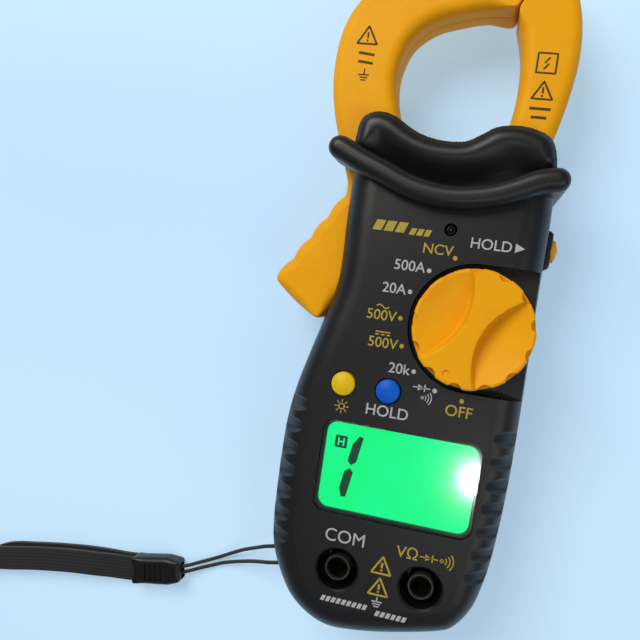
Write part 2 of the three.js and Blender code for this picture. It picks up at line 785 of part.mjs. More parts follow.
function makeDial() {
  const bar = dialPointer * degrees;
  const along = [-Math.sin(bar), Math.cos(bar)];
  const across = [-along[1], along[0]];
  let dial = drum(dialX, dialY, dialRadius, dialFloorZ + joint, dialTopZ - 0.6, 60);
  dial = joined(dial, drum(dialX, dialY, dialRadius, dialTopZ - 0.6, dialTopZ, 60, dialRadius - 0.5));
  for (let i = 0; i < dialNotches; i++) {
    const turn = (i + 0.5) * ((2 * Math.PI) / dialNotches);
    const reach = dialRadius + 0.75;
    const notch = drum(dialX + reach * Math.cos(turn), dialY + reach * Math.sin(turn), 1.9, faceZ - 1, dialTopZ + 1, 10);
    dial = dial.subtract(notch);
  }
  [-1, 1].forEach((side) => {
    // A round scoop each side leaves the waisted finger bar between them.
    const scoop = new THREE.CylinderGeometry(8.6, 7.2, 3.4, 32);
    scoop.rotateX(Math.PI / 2);
    scoop.scale(0.82, 1.12, 1);
    scoop.rotateZ(bar);
    const reach = side * 8.3;
    scoop.translate(dialX + across[0] * reach, dialY + across[1] * reach, dialTopZ - 0.6);
    const keep = drum(dialX, dialY, dialRadius - 1.3, faceZ - 4, dialTopZ + 4, 48);
    dial = dial.subtract(solid(scoop).intersect(keep));
  });
  const dot = drum(dialX + along[0] * 11, dialY + along[1] * 11, 0.8, dialTopZ - 0.3, dialTopZ + 1, 12);
  const shaft = joined(
    drum(dialX, dialY, shaftRadius + 1, dialFloorZ - 1.6 - joint, dialFloorZ + 1, 24),
    drum(dialX, dialY, shaftRadius, boardTopZ + 1.6, dialFloorZ, 24),
  );
  place("range_dial", joined(dial, shaft).subtract(dot), "amber");
  const rotorTop = dialFloorZ - 1.6 - 2 * joint;
  const rotorLow = boardTopZ + 2;
  const rotorRadius = dialRadius - 2.4;
  let rotor = drum(dialX, dialY, rotorRadius, rotorTop - 1.8, rotorTop, 32);
  rotor = joined(rotor, drum(dialX, dialY, shaftRadius + 1.8, rotorLow, rotorTop, 24));
  rotor = rotor.subtract(drum(dialX, dialY, shaftRadius + joint, 0, faceZ, 24));
  const notchReach = rotorRadius + 0.3;
  for (let i = 0; i < 16; i++) {
    const turn = i * 22.5 * degrees + bar;
    rotor = rotor.subtract(
      drum(dialX + notchReach * Math.cos(turn), dialY + notchReach * Math.sin(turn), 0.8, 10, faceZ, 8),
    );
  }
  place("dial_rotor", rotor, "white");
  const wiper = [-1, 0, 1].map((i) => {
    const radius = rotorRadius - 3.2 + i * 1.4;
    return slab(dialX - 0.5, dialX + 0.5, dialY + radius - 0.4, dialY + radius + 0.4, boardTopZ + 0.5, rotorTop - 2.1);
  });
  const bridgeY = dialY + rotorRadius - 5;
  const bridge = slab(dialX - 0.5, dialX + 0.5, bridgeY, bridgeY + 3.6, rotorTop - 2.5, rotorTop - 2.1);
  place("dial_wiper", joined(...wiper, bridge), "brass");
  const springY = dialY - rotorRadius - 0.9;
  const leaf = slab(dialX - 7, dialX + 7, springY - 0.5, springY - 0.1, rotorTop - 1.8, rotorTop);
  place("detent_spring", leaf, "steel");
}

// ---------- display ----------
function makeDisplay() {
  const lensLow = faceZ - windowThick - joint;
  const lens = roundedBox(windowX, windowY, windowWidth, windowHeight, 2.9);
  place("display_window", prism(lens, lensLow, faceZ - joint), "clear");
  const glassTop = faceInZ - joint;
  const glass = [windowX, windowY, windowWidth + 0.6, windowHeight + 0.4];
  const glassLow = glassTop - 1.4;
  place("lcd_panel", prism(roundedBox(...glass, 0.3, 1), glassLow, glassTop), "green");
  const plateLow = glassLow - joint - 1.6;
  const plateHeight = windowHeight - 3.4;
  const plate = roundedBox(windowX, windowY + 1.7, windowWidth + 0.6, plateHeight + 0.4, 0.3, 1);
  place("backlight_plate", prism(plate, plateLow, glassLow - joint), "white");
  const outer = roundedBox(windowX, windowY, windowWidth + 2.8, windowHeight + 3.2, 1, 2);
  const inner = roundedBox(windowX, windowY, windowWidth + 1.2, windowHeight + 1, 0.4, 1);
  place("lcd_frame", prism(outer, plateLow, glassTop - 0.8).subtract(prism(inner, 0, faceZ)), "black");
  const stripY = windowY - windowHeight / 2 + 1.5;
  const stripHalf = windowWidth / 2 - 1.45;
  const strip = slab(windowX - stripHalf, windowX + stripHalf, stripY - 1.1, stripY + 1.1, boardTopZ + joint, glassLow - joint);
  place("elastomer_strip", strip, "black");
}

// ---------- buttons and switches ----------
function tactSwitch(x, y, z0, z1) {
  const base = slab(x - 3, x + 3, y - 3, y + 3, z0, z1 - 0.8);
  return joined(base, drum(x, y, 1.7, z1 - 1.2, z1, 16));
}

function makeButtons() {
  Object.entries(buttonXs).forEach(([name, x]) => {
    const top = faceZ + buttonStand;
    const cap = drum(x, buttonY, buttonRadius, faceInZ - joint - 0.4, top - 0.5, 28);
    const crown = drum(x, buttonY, buttonRadius, top - 0.5, top, 28, buttonRadius - 0.5);
    const flange = drum(x, buttonY, buttonRadius + 1, faceInZ - joint - 0.9, faceInZ - joint, 24);
    const stem = drum(x, buttonY, 1.5, switchTopZ + joint + buttonTravel, faceInZ - 1, 12);
    place(name + "_button", joined(cap, crown, flange, stem), name === "hold" ? "blue" : "lemon");
    place(name + "_switch", tactSwitch(x, buttonY, boardTopZ + joint, switchTopZ), "black");
  });
  const outer = right + sideButtonStand;
  const reach = right - wall - joint;
  const cap = sideDrum(sideButtonY, sideButtonZ, sideButtonRadius, reach - 0.6, outer - 0.6, 24);
  const crown = sideDrum(sideButtonY, sideButtonZ, sideButtonRadius, outer - 0.6, outer, 24, sideButtonRadius - 0.6);
  const flange = sideDrum(sideButtonY, sideButtonZ, sideButtonRadius + 0.7, reach - 0.9, reach, 20);
  const switchFace = reach - 0.9 - sideButtonTravel - 0.6;
  const stem = sideDrum(sideButtonY, sideButtonZ, 1.4, switchFace + joint + sideButtonTravel, reach - 0.3, 12);
  place("side_hold_button", joined(cap, crown, flange, stem), "amber");
  const box = slab(switchFace - 3.2, switchFace - 0.8, sideButtonY - 3, sideButtonY + 3, sideButtonZ - 2.2, sideButtonZ + 2.8);
  const knob = sideDrum(sideButtonY, sideButtonZ, 1.2, switchFace - 1, switchFace, 12);
  place("side_switch", joined(box, knob), "black");
}

// ---------- sockets ----------
function makeSockets() {
  const low = partingZ + 0.9;
  const names = { com: -0.5, volt: 0.5 };
  Object.entries(names).forEach(([name, side]) => {
    const x = side * socketPitch;
    const collar = drum(x, socketY, socketWell - joint, low, low + 1.2, 28);
    const insulator = drum(x, socketY, socketSleeve, low, faceZ - 1.2, 28);
    const bore = drum(x, socketY, socketSleeve - 0.55, low + 1, faceZ + 1, 24);
    const hole = drum(x, socketY, 1.2, low - 1, low + 2, 12);
    place("socket_sleeve_" + name, joined(collar, insulator).subtract(bore).subtract(hole), "black");
    const inner = socketSleeve - 0.55 - 0.15;
    const contact = drum(x, socketY, inner, low + 1.3, faceZ - 1.5, 24);
    const opening = drum(x, socketY, socketBore, low + 2.4, faceZ + 1, 24);
    place("socket_contact_" + name, contact.subtract(opening), "brass");
  });
}

// ---------- circuit board and what stands on it ----------
function makeBoard() {
  const narrowY = buttonY - 4;
  const wideEnds = [left + 6.4, right - 5.2];
  const stemX = springSeatX + 1.8;
  const parts = [
    [...wideEnds, -52.8, narrowY],
    [buttonXs.backlight - 3.2, wideEnds[1], narrowY - 0.1, cellTopY + 0.4],
    [stemX, wideEnds[1], cellTopY + 0.3, sideButtonY - 4.6],
    [stemX, right - 9.2, sideButtonY - 4.7, lampY + 1.6],
  ];
  let board = joined(...parts.map((part) => slab(...part, boardZ, boardTopZ)));
  posts.forEach(([x, y]) => {
    board = board.subtract(drum(x, y, postRadius + 1.3, 0, faceZ, 16));
  });
  place("circuit_board", board, "board");
  const chip = slab(windowX - 5.5, windowX + 5.5, -42, -31, boardTopZ + joint, boardTopZ + 1.7);
  place("measuring_chip", chip, "black");
  place("buzzer", drum(dialX - 2, 4, 6.4, boardZ - joint - 3, boardZ - joint, 28), "brass");
  const resistor = sideDrum(-50.4, boardTopZ + 2.2, 1.8, -5, 6, 16);
  place("input_resistor", resistor, "blue");
  const lampTop = faceZ - 0.9;
  const lamp = joined(
    drum(lampX, lampY, lampRadius, boardTopZ + joint, lampTop, 16),
    drum(lampX, lampY, lampRadius, lampTop, lampTop + 0.7, 16, lampRadius * 0.5),
  );
  place("sensing_lamp", lamp, "clear");
}

// ---------- batteries ----------
const cellXs = [door.x - cellPitch / 2, door.x + cellPitch / 2];

function cell(x, up) {
  const sign = up ? 1 : -1;
  const head = up ? cellTopY : cellTopY - 46.4;
  const tail = head - sign * cellLength;
  const shoulder = head - sign * 0.8;
  const span = (a, b) => [Math.min(a, b), Math.max(a, b)];
  const can = longDrum(x, cellZ, cellRadius, ...span(tail, shoulder), 28);
  const nub = longDrum(x, cellZ, 1.9, ...span(shoulder - sign * 0.1, head), 16);
  return joined(can, nub);
}

function contactSpring(x, y0, y1) {
  const turns = 2.5;
  const wire = 0.3;
  const route = new RouteCurve((t) => {
    const radius = 3.4 - 1.2 * t;
    const turn = 2 * Math.PI * turns * t;
    return [x + radius * Math.cos(turn), y0 + (y1 - y0) * t, cellZ + radius * Math.sin(turn)];
  });
  return tube(route, wire, 30, 6);
}

function makeBatteries() {
  place("battery_1", cell(cellXs[0], true), "black");
  place("battery_2", cell(cellXs[1], false), "black");
  const footY = cellTopY - 46.7;
  const plateTop = partingZ - 0.5;
  const reach = 4.4;
  const bridge = slab(cellXs[0] - reach, cellXs[1] + reach, footY - 0.4, footY, 3.8, plateTop);
  place("battery_bridge", bridge, "steel");
  const topY = cellTopY + 0.3;
  cellXs.forEach((x, i) => {
    const plate = slab(x - reach, x + reach, topY, topY + 0.4, 3.8, plateTop);
    place("battery_contact_" + (i + 1), plate, "steel");
  });
  place("battery_spring_1", contactSpring(cellXs[0], footY + 0.65, cellTopY - cellLength - 0.6), "steel");
  place("battery_spring_2", contactSpring(cellXs[1], topY - 0.65, cellTopY - 46.4 + cellLength + 0.6), "steel");
}

function makeReturnSpring() {
  // It pushes the lever back, below the pivot.
  const y = springY;
  const ends = [pivot[0] + 4.7, springSeatX - joint - 0.35];
  const turns = 4;
  const route = new RouteCurve((t) => {
    const turn = 2 * Math.PI * turns * t;
    return [ends[0] + (ends[1] - ends[0]) * t, y + 2 * Math.cos(turn), jawMidZ + 2 * Math.sin(turn)];
  });
  place("return_spring", tube(route, 0.35, 44, 6), "steel");
}

// ---------- wrist strap ----------
const cordZ = 7.5;
const cordExitTurn = 13; // degrees that the holes lean towards the foot
const cordEnds = [
  [-24.2 - wide, -64.1],
  [-21.9 - wide, -67.8],
];
const cordRoute = [
  [-23.2, -63.87, 7.5],
  [-25.6, -64.4, 7.5],
  [-28.4, -65.0, 7.5],
  [-31.1, -65.8, 7.1],
  [-34.2, -67.4, 5.6],
  [-37.8, -69.4, 3.6],
  [-41.2, -71.6, 1.9],
  [-44.4, -73.6, 1.1],
  [-47.4, -75.2, 1.0],
  [-50.4, -76.6, 1.3],
  [-53.2, -77.8, 2.0],
  [-55.6, -78.5, 2.5],
  [-58.2, -78.4, 2.5],
  [-60.4, -79.4, 2.5],
  [-60.8, -81.2, 2.5],
  [-59.2, -82.4, 2.5],
  [-57, -81.5, 2.5],
  [-54.6, -80.0, 2.5],
  [-52.4, -79.1, 2.0],
  [-49.6, -77.9, 1.3],
  [-46.6, -76.6, 1.0],
  [-43.6, -75.2, 1.1],
  [-40.4, -73.9, 1.9],
  [-36.8, -72.4, 3.4],
  [-33.2, -71.0, 5.2],
  [-29.8, -69.9, 6.8],
  [-26.6, -68.95, 7.5],
  [-23.6, -68.2, 7.5],
  [-21, -67.57, 7.5],
];
const crimpStart = [-54.4, -79.1];
const crimpTurn = 10.5; // degrees that it leans, its far end towards the foot
const bandLine = [
  [-68.4, -81.7],
  [-76, -82.1],
  [-83.8, -82.8],
  [-91.6, -83.9],
  [-99.5, -85.3],
  [-107.5, -87.0],
  [-114.5, -88.8],
];
const loopLine = [
  [-115, -88.2],
  [-122, -88.2],
  [-131, -86],
  [-142, -81.6],
  [-153, -78.6],
  [-164, -79],
  [-173, -83.8],
  [-177, -92.4],
  [-174.5, -101.4],
  [-166, -107],
  [-155, -107.8],
  [-144, -104.4],
  [-133.5, -98.4],
  [-124, -93.2],
  [-115.8, -91],
];

function splineThrough(points) {
  return new THREE.CatmullRomCurve3(points.map(([x, y, z = 0]) => new THREE.Vector3(x, y, z)), false, "centripetal");
}

function turnedAbout(made, [x, y], angle) {
  const shown = geometryOf(made);
  shown.translate(-x, -y, 0);
  shown.rotateZ(angle * degrees);
  shown.translate(x, y, 0);
  return solid(shown);
}

function makeStrap() {
  const besideCase = (made) => made.translate([-wide, 0, 0]);
  place("strap_cord", besideCase(tube(splineThrough(cordRoute), cordRadius, 64, 8)), "webbing");
  const [x, y] = crimpStart;
  const half = crimpWidth / 2;
  const taper = [
    [x, y + half - 1.1],
    [x - 3.6, y + half],
    [x - crimpLength, y + half],
    [x - crimpLength, y - half],
    [x - 3.6, y - half],
    [x, y - half + 1.1],
  ];
  const block = prism(taper, joint, joint + crimpHeight, 0.9, 2);
  const pocket = slab(x - 8.4, x + 1, y - 2.9, y + 2.6, 1.5, 3.6);
  const mouth = slab(x - crimpLength - 1, x - crimpLength + 2.6, y - half + 0.4, y + half - 0.4, 0.9, 4.6);
  const crimp = block.subtract(pocket).subtract(mouth);
  place("strap_crimp", besideCase(turnedAbout(crimp, crimpStart, crimpTurn)), "black");
  const stackHigh = 2 * bandThick + 0.1;
  const run = prism(ribbon(smooth(bandLine, 12), bandWidth), joint, joint + stackHigh);
  place("strap_band_run", besideCase(run), "webbing");
  const loop = prism(ribbon(smooth(loopLine, 40), bandThick), joint, joint + bandWidth);
  place("strap_band_loop", besideCase(loop), "webbing");
}

makeFrontCasing();
makeRearCasing();
makeDoor();
makeFasteners();
makeMovingJaw();
makeFixedJaw();
makeCoil();
makeReturnSpring();
makeDial();
makeDisplay();
makeButtons();
makeSockets();
makeBoard();
makeBatteries();
makeStrap();

export default meter;
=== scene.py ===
import bpy, bmesh, math
from math import cos, pi, radians, sin
from mathutils import Matrix, Vector


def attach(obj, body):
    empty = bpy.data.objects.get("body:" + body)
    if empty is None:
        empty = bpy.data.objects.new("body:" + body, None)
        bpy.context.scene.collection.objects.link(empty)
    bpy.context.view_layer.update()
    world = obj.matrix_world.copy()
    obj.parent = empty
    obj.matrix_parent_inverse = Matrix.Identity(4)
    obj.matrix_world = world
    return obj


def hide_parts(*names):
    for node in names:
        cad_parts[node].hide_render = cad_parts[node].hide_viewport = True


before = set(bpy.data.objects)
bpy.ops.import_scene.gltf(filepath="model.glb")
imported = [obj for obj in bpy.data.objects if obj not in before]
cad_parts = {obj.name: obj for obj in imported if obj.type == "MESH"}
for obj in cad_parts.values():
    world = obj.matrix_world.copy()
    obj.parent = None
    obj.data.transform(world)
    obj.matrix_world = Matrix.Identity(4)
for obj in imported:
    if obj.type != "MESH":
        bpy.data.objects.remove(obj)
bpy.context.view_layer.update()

mm = 0.001
scene = bpy.context.scene
scene.view_settings.view_transform = "Standard"


# A Link wraps a socket, so that masks can be written as sums and products.
class Link:
    def __init__(self, tree, socket=None):
        self.tree, self.socket = tree, socket

    def make(self, kind, settings=None, inputs=None, output=0):
        node = self.tree.nodes.new(kind)
        for key, value in (settings or {}).items():
            setattr(node, key, value)
        for key, value in (inputs or {}).items():
            if isinstance(value, Link):
                self.tree.links.new(value.socket, node.inputs[key])
            else:
                node.inputs[key].default_value = value
        return Link(self.tree, node.outputs[output] if len(node.outputs) else None)

    def maths(self, operation, first, second=0.0):
        return self.make("ShaderNodeMath", {"operation": operation}, {0: first, 1: second})

    def __add__(self, other): return self.maths("ADD", self, other)
    def __radd__(self, other): return self.maths("ADD", other, self)
    def __rsub__(self, other): return self.maths("SUBTRACT", other, self)
    def __mul__(self, other): return self.maths("MULTIPLY", self, other)
    def __rmul__(self, other): return self.maths("MULTIPLY", other, self)

    def blend(self, low, high):
        return self.make("ShaderNodeMix", {"data_type": "RGBA"},
                         {0: self, 6: (*low, 1), 7: (*high, 1)}, output=2)

    def between(self, low, high):
        return self.make("ShaderNodeMapRange", {"clamp": True}, {0: self, 1: low, 2: high})


def newMaterial(name):
    material = bpy.data.materials.new(name)
    material.use_nodes = True
    material.node_tree.nodes.clear()
    return material, Link(material.node_tree)


def objectPlace(start):
    return start.make("ShaderNodeTexCoord", output=3)


def noise(start, size, detail=3.0, rough=0.55, place=None):
    return start.make("ShaderNodeTexNoise", inputs={
        "Vector": place or objectPlace(start), "Scale": 1 / size, "Detail": detail, "Roughness": rough})


def bump(start, height, depth, strength=1.0, under=None):
    inputs = {"Strength": strength, "Distance": depth, "Height": height}
    if under:
        inputs["Normal"] = under
    return start.make("ShaderNodeBump", inputs=inputs)


def surface(start, values):
    shader = start.make("ShaderNodeBsdfPrincipled", inputs=values)
    start.make("ShaderNodeOutputMaterial", inputs={"Surface": shader})


# Moulded plastic: fine spark grain, slow tone changes, and a soft satin sheen.
def mouldedPlastic(name, dark, light, rough=0.42, grain=0.22, grainDepth=0.02, shine=0.3, glow=0.0):
    material, start = newMaterial(name)
    tone = noise(start, 9 * mm, 4)
    fleck = noise(start, 0.7 * mm, 3)
    fine = noise(start, grain * mm, 2, 0.7)
    wave = noise(start, 5 * mm, 2)
    mask = (tone * 0.7 + fleck * 0.3).between(0.3, 0.7)
    values = {
        "Base Color": mask.blend(dark, light),
        "Roughness": rough - 0.06 + 0.12 * fleck,
        "Normal": bump(start, fine, grainDepth * mm, 0.6, bump(start, wave, 0.05 * mm, 0.25)),
        "Specular IOR Level": shine,
    }
    if glow:
        values["Subsurface Weight"] = glow
        values["Subsurface Radius"] = (1.0, 0.5, 0.1)
        values["Subsurface Scale"] = 0.6 * mm
    surface(start, values)
    return material


# Bare metal: brushed or plated, with fine scratches along one way.
def bareMetal(name, dark, light, rough=0.3, along=(1, 1, 0.1)):
    material, start = newMaterial(name)
    turned = start.make("ShaderNodeMapping", inputs={"Vector": objectPlace(start), "Scale": along})
    scratch = noise(start, 0.12 * mm, 4, 0.6, turned)
    tone = noise(start, 2.5 * mm, 3)
    surface(start, {
        "Base Color": tone.between(0.3, 0.7).blend(dark, light),
        "Roughness": rough - 0.08 + 0.16 * scratch,
        "Metallic": 1.0,
        "Normal": bump(start, scratch, 0.01 * mm, 0.4),
    })
    return material


# Printed ink: thin, a little uneven and worn.
def ink(name, dark, light):
    material, start = newMaterial(name)
    patch = noise(start, 0.35 * mm, 3)
    surface(start, {
        "Base Color": patch.between(0.3, 0.62).blend(dark, light),
        "Roughness": 0.45 + 0.15 * patch,
        "Specular IOR Level": 0.2,
        "Normal": bump(start, patch, 0.01 * mm, 0.3),
    })
    return material


def glowing(name, dark, light, strength):
    material, start = newMaterial(name)
    spread = noise(start, 22 * mm, 2)
    fine = noise(start, 0.3 * mm, 2)
    mixed = (spread * 0.9 + fine * 0.1).between(0.35, 0.65)
    surface(start, {
        "Base Color": mixed.blend((0.0, 0.03, 0.01), (0.0, 0.05, 0.02)),
        "Emission Color": mixed.blend(dark, light),
        "Emission Strength": strength,
        "Roughness": 0.35 + 0.1 * fine,
        "Specular IOR Level": 0.1,
    })
    return material


def clearPlastic(name, tint):
    material, start = newMaterial(name)
    smear = noise(start, 6 * mm, 4)
    through = start.make("ShaderNodeBsdfTransparent", inputs={"Color": (*tint, 1)})
    shine = start.make("ShaderNodeBsdfGlossy", inputs={"Roughness": 0.11})
    mixed = start.make("ShaderNodeMixShader", inputs={0: 0.035 + 0.02 * smear, 1: through, 2: shine})
    start.make("ShaderNodeOutputMaterial", inputs={"Surface": mixed})
    return material


# Woven webbing: ribs along the band, crossed by the weft, with a little fuzz.
def webbing(name, dark, light, ribs, pitch):
    material, start = newMaterial(name)
    uv = start.make("ShaderNodeUVMap", {"uv_map": "weave"})
    split = start.make("ShaderNodeSeparateXYZ", inputs={"Vector": uv})
    across = split
    along = Link(split.tree, split.socket.node.outputs[1])
    warp = (across * (ribs * pi)).maths("SINE", across * (ribs * 2 * pi)) * 0.5 + 0.5
    weft = along.maths("SINE", along * (2 * pi / pitch)) * 0.5 + 0.5
    fuzz = noise(start, 0.25 * mm, 3)
    cloth = warp * 0.75 + weft * 0.25
    height = cloth * 0.8 + fuzz * 0.2
    surface(start, {
        "Base Color": (cloth * 0.7 + fuzz * 0.5).between(0.2, 0.9).blend(dark, light),
        "Roughness": 0.75 + 0.15 * fuzz,
        "Normal": bump(start, height, 0.12 * mm, 0.9),
        "Sheen Weight": 0.15,
    })
    return material


# Pale board that glows a little, evenly, to lift its shade, with a darker, bluer patch of painted shade beyond the
# meter.
def floorMaterial():
    material, start = newMaterial("paleBlueBoard")
    slow = noise(start, 240 * mm, 2)
    fine = noise(start, 1.2 * mm, 3)
    shadeCentre, shadeShape, shadeFalloff, depth = (-0.09, 0.03, 0), (0.5, 1.5, 1), 9.0, 0.3
    place = objectPlace(start)
    for operation, value in (("SUBTRACT", shadeCentre), ("MULTIPLY", shadeShape)):
        place = start.make("ShaderNodeVectorMath", {"operation": operation}, {0: place, 1: value})
    away = start.make("ShaderNodeVectorMath", {"operation": "LENGTH"}, {0: place}, output=1)
    # painted shade: the base colour turns darker and bluer in a soft patch beyond the meter
    patch = (1.0 - away * shadeFalloff + slow * 0.3).between(0.0, 1.0) * depth
    surface(start, {
        "Base Color": patch.blend((0.38, 0.55, 0.68), (0.06, 0.16, 0.50)),
        "Emission Color": (0.56, 0.78, 1.0, 1),
        "Emission Strength": 0.50,
        "Roughness": 0.62 + 0.1 * fine,
        "Normal": bump(start, fine, 0.02 * mm, 0.2),
    })
    return material


plastics = {
    "casing": ("charcoalPlastic", (0.0045, 0.0042, 0.0043), (0.008, 0.0075, 0.0075), 0.38, 0.25, 0.03, 0.45),
    "amber": ("amberPlastic", (0.88, 0.38, 0.005), (0.95, 0.44, 0.007), 0.42, 0.3, 0.012, 0.10, 0.06),
    "lemon": ("lemonPlastic", (0.72, 0.50, 0.004), (0.82, 0.58, 0.006), 0.42, 0.3, 0.01, 0.22, 0.1),
    "blue": ("bluePlastic", (0.002, 0.10, 0.60), (0.004, 0.13, 0.68), 0.42, 0.3, 0.01, 0.2, 0.03),
    "black": ("blackPlastic", (0.003, 0.003, 0.003), (0.006, 0.006, 0.006), 0.38, 0.3, 0.015, 0.4),
    "gloss": ("glossPlastic", (0.022, 0.022, 0.022), (0.036, 0.036, 0.036), 0.25, 0.3, 0.008, 0.6),
    "white": ("naturalNylon", (0.62, 0.61, 0.56), (0.72, 0.71, 0.66), 0.5, 0.3, 0.01, 0, 0.1),
    "board": ("solderMask", (0.006, 0.09, 0.035), (0.012, 0.14, 0.055), 0.35, 0.6, 0.02),
    "rubber": ("contactRubber", (0.012, 0.012, 0.012), (0.022, 0.022, 0.022), 0.75, 0.4, 0.03),
}
metals = {
    "steel": ("platedSteel", (0.45, 0.46, 0.48), (0.62, 0.63, 0.65), 0.32),
    "pinSteel": ("groundSteel", (0.42, 0.43, 0.45), (0.55, 0.56, 0.58), 0.22, (0.1, 0.1, 1)),
    "brass": ("platedBrass", (0.10, 0.085, 0.05), (0.17, 0.14, 0.09), 0.35),
    "copper": ("enamelledCopper", (0.50, 0.20, 0.06), (0.66, 0.28, 0.09), 0.35, (1, 0.05, 1)),
    "laminations": ("coreLaminations", (0.20, 0.20, 0.21), (0.32, 0.32, 0.33), 0.45, (0.2, 0.2, 3)),
}
inks = {
    "segments": ("darkSegments", (0.0, 0.05, 0.018), (0.0, 0.09, 0.03)),
    "greyInk": ("greyInk", (0.38, 0.39, 0.41), (0.52, 0.53, 0.55)),
    "goldInk": ("goldInk", (0.36, 0.26, 0.035), (0.50, 0.37, 0.06)),
    "jawInk": ("darkInk", (0.05, 0.035, 0.006), (0.10, 0.06, 0.01)),
}
finish = {
    "display": glowing("litDisplay", (0.0005, 0.96, 0.22), (0.001, 1.0, 0.32), 1.0),
    "clear": clearPlastic("clearWindow", (0.97, 1.0, 0.98)),
    "webbing": webbing("ribbedWebbing", (0.003, 0.0025, 0.0025), (0.020, 0.018, 0.018),
                       7, 0.9 * mm),
    "cordWeave": webbing("cordWeave", (0.010, 0.009, 0.009), (0.05, 0.045, 0.045),
                         3, 0.7 * mm),
}
for maker, rows in ((mouldedPlastic, plastics), (bareMetal, metals), (ink, inks)):
    finish.update({key: maker(*row) for key, row in rows.items()})
print("materials made", len(finish))


# outlines are in millimetres, seen from the front
def throughPoints(points, closed=False, steps=12):
    # centripetal curve through the points, like the one that shapes the solids
    pts = [Vector((*p, 0)[:3]) for p in points]
    count, found = len(pts), []
    for i in range(count if closed else count - 1):
        b, c = pts[i], pts[(i + 1) % count]
        a = pts[i - 1] if closed or i else b * 2 - c
        d = pts[(i + 2) % count] if closed or i + 2 < count else c * 2 - b
        t1 = (b - a).length ** 0.5
        t2 = t1 + (c - b).length ** 0.5
        t3 = t2 + (d - c).length ** 0.5
        for k in range(steps):
            t = t1 + (t2 - t1) * k / steps
            p = a * ((t1 - t) / t1) + b * (t / t1)
            q = b * ((t2 - t) / (t2 - t1)) + c * ((t - t1) / (t2 - t1))
            r = c * ((t3 - t) / (t3 - t2)) + d * ((t - t2) / (t3 - t2))
            p, q = p * ((t2 - t) / t2) + q * (t / t2), q * ((t3 - t) / (t3 - t1)) + r * ((t - t1) / (t3 - t1))
            found.append(p * ((t2 - t) / (t2 - t1)) + q * ((t - t1) / (t2 - t1)))
    return found if closed else found + [pts[-1]]


def evenly(points, spacing, closed=False):
    run = list(points) + ([points[0]] if closed else [])
    lengths = [0.0]
    for a, b in zip(run, run[1:]):
        lengths.append(lengths[-1] + (b - a).length)
    count = max(2, round(lengths[-1] / spacing))
    found, j = [], 0
    for i in range(count + (0 if closed else 1)):
        want = lengths[-1] * i / count
        while j < len(run) - 2 and lengths[j + 1] < want:
            j += 1
        share = (want - lengths[j]) / max(lengths[j + 1] - lengths[j], 1e-9)
        found.append(run[j].lerp(run[j + 1], min(share, 1)))
    return found


def softened(loop, rounds):
    for _ in range(rounds):
        loop = [(loop[i - 1] + p * 2 + loop[(i + 1) % len(loop)]) / 4 for i, p in enumerate(loop)]
    return loop


def anticlockwise(loop):
    area = sum(loop[i - 1].x * p.y - p.x * loop[i - 1].y for i, p in enumerate(loop))
    return loop if area > 0 else loop[::-1]


def outward(loop):
    normals = []
    for i in range(len(loop)):
        run = (loop[(i + 1) % len(loop)] - loop[i - 1]).normalized()
        normals.append(Vector((run.y, -run.x, 0)))
    return normals


def rollLimits(loop, roll, tight=None):
    # the rounding is held below the largest disc that fits inside at each point, so that it never folds
    share, least, spread = 0.88, 0.05, 3
    count, limits = len(loop), []
    for p, n in zip(loop, outward(loop)):
        limit = min(roll, tight(p)) if tight else roll
        for q in loop:
            dx, dy = p.x - q.x, p.y - q.y
            deep = dx * n.x + dy * n.y
            if deep > 1e-6:
                limit = min(limit, share * (dx * dx + dy * dy) / (2 * deep))
        limits.append(max(limit, least))
    for gather in (min, lambda near: sum(near) / len(near)):
        limits = [gather([limits[(i + k) % count] for k in range(-spread, spread + 1)]) for i in range(count)]
    return limits


def disc(x, y, radius, count=64, start=0.0, turn=360.0):
    whole = turn >= 360
    return [Vector((x + radius * cos(radians(start + turn * i / count)),
                    y + radius * sin(radians(start + turn * i / count)), 0))
            for i in range(count if whole else count + 1)]


def roundBox(x, y, width, height, corner, steps=8):
    loop = []
    for quarter, (sx, sy) in enumerate([(1, 1), (-1, 1), (-1, -1), (1, -1)]):
        cx, cy = x + sx * (width / 2 - corner), y + sy * (height / 2 - corner)
        loop += disc(cx, cy, corner, steps, quarter * 90, 90)
    return loop


def headings(line):
    last = len(line) - 1
    return [(line[min(i + 1, last)] - line[max(i - 1, 0)]).normalized() for i in range(last + 1)]


def strip(line, width, roundEnds=True):
    # outline of a band of even width along a line
    left, right = [], []
    for p, run in zip(line, headings(line)):
        side = Vector((-run.y, run.x, 0)) * (width / 2)
        left.append(p + side)
        right.append(p - side)
    if not roundEnds:
        return right + left[::-1]
    ends = []
    for tip, before in ((line[-1], line[-2]), (line[0], line[1])):
        run = tip - before
        angle = math.degrees(math.atan2(run.y, run.x))
        ends.append(disc(tip.x, tip.y, width / 2, 10, angle - 90, 180)[1:-1])
    return right + ends[0] + left[::-1] + ends[1]


# solids from outlines
def newObject(name, data):
    obj = bpy.data.objects.new(name, data)
    scene.collection.objects.link(obj)
    return obj


def meshObject(name, verts, faces, material=None, smooth=35):
    mesh = bpy.data.meshes.new(name)
    mesh.from_pydata([tuple(Vector(v) * mm) for v in verts], [], faces)
    obj = newObject(name, mesh)
    if material:
        mesh.materials.append(finish[material])
    shade(obj, smooth)
    return obj


def shade(obj, angle=35):
    obj.data.polygons.foreach_set("use_smooth", [True] * len(obj.data.polygons))
    obj.data.set_sharp_from_angle(angle=radians(angle))


def walls(low, high, count):
    # faces between two rings, each given by the index of its first point
    return [(low + i, low + (i + 1) % count, high + (i + 1) % count, high + i) for i in range(count)]


def stacked(rings):
    # rings of equal length joined by walls, with a cap at each end
    count = len(rings[0])
    verts = [v for ring in rings for v in ring]
    last = len(verts) - count
    faces = [tuple(range(count - 1, -1, -1))]
    for low in range(0, last, count):
        faces += walls(low, low + count, count)
    return verts, faces + [tuple(range(last, len(verts)))]


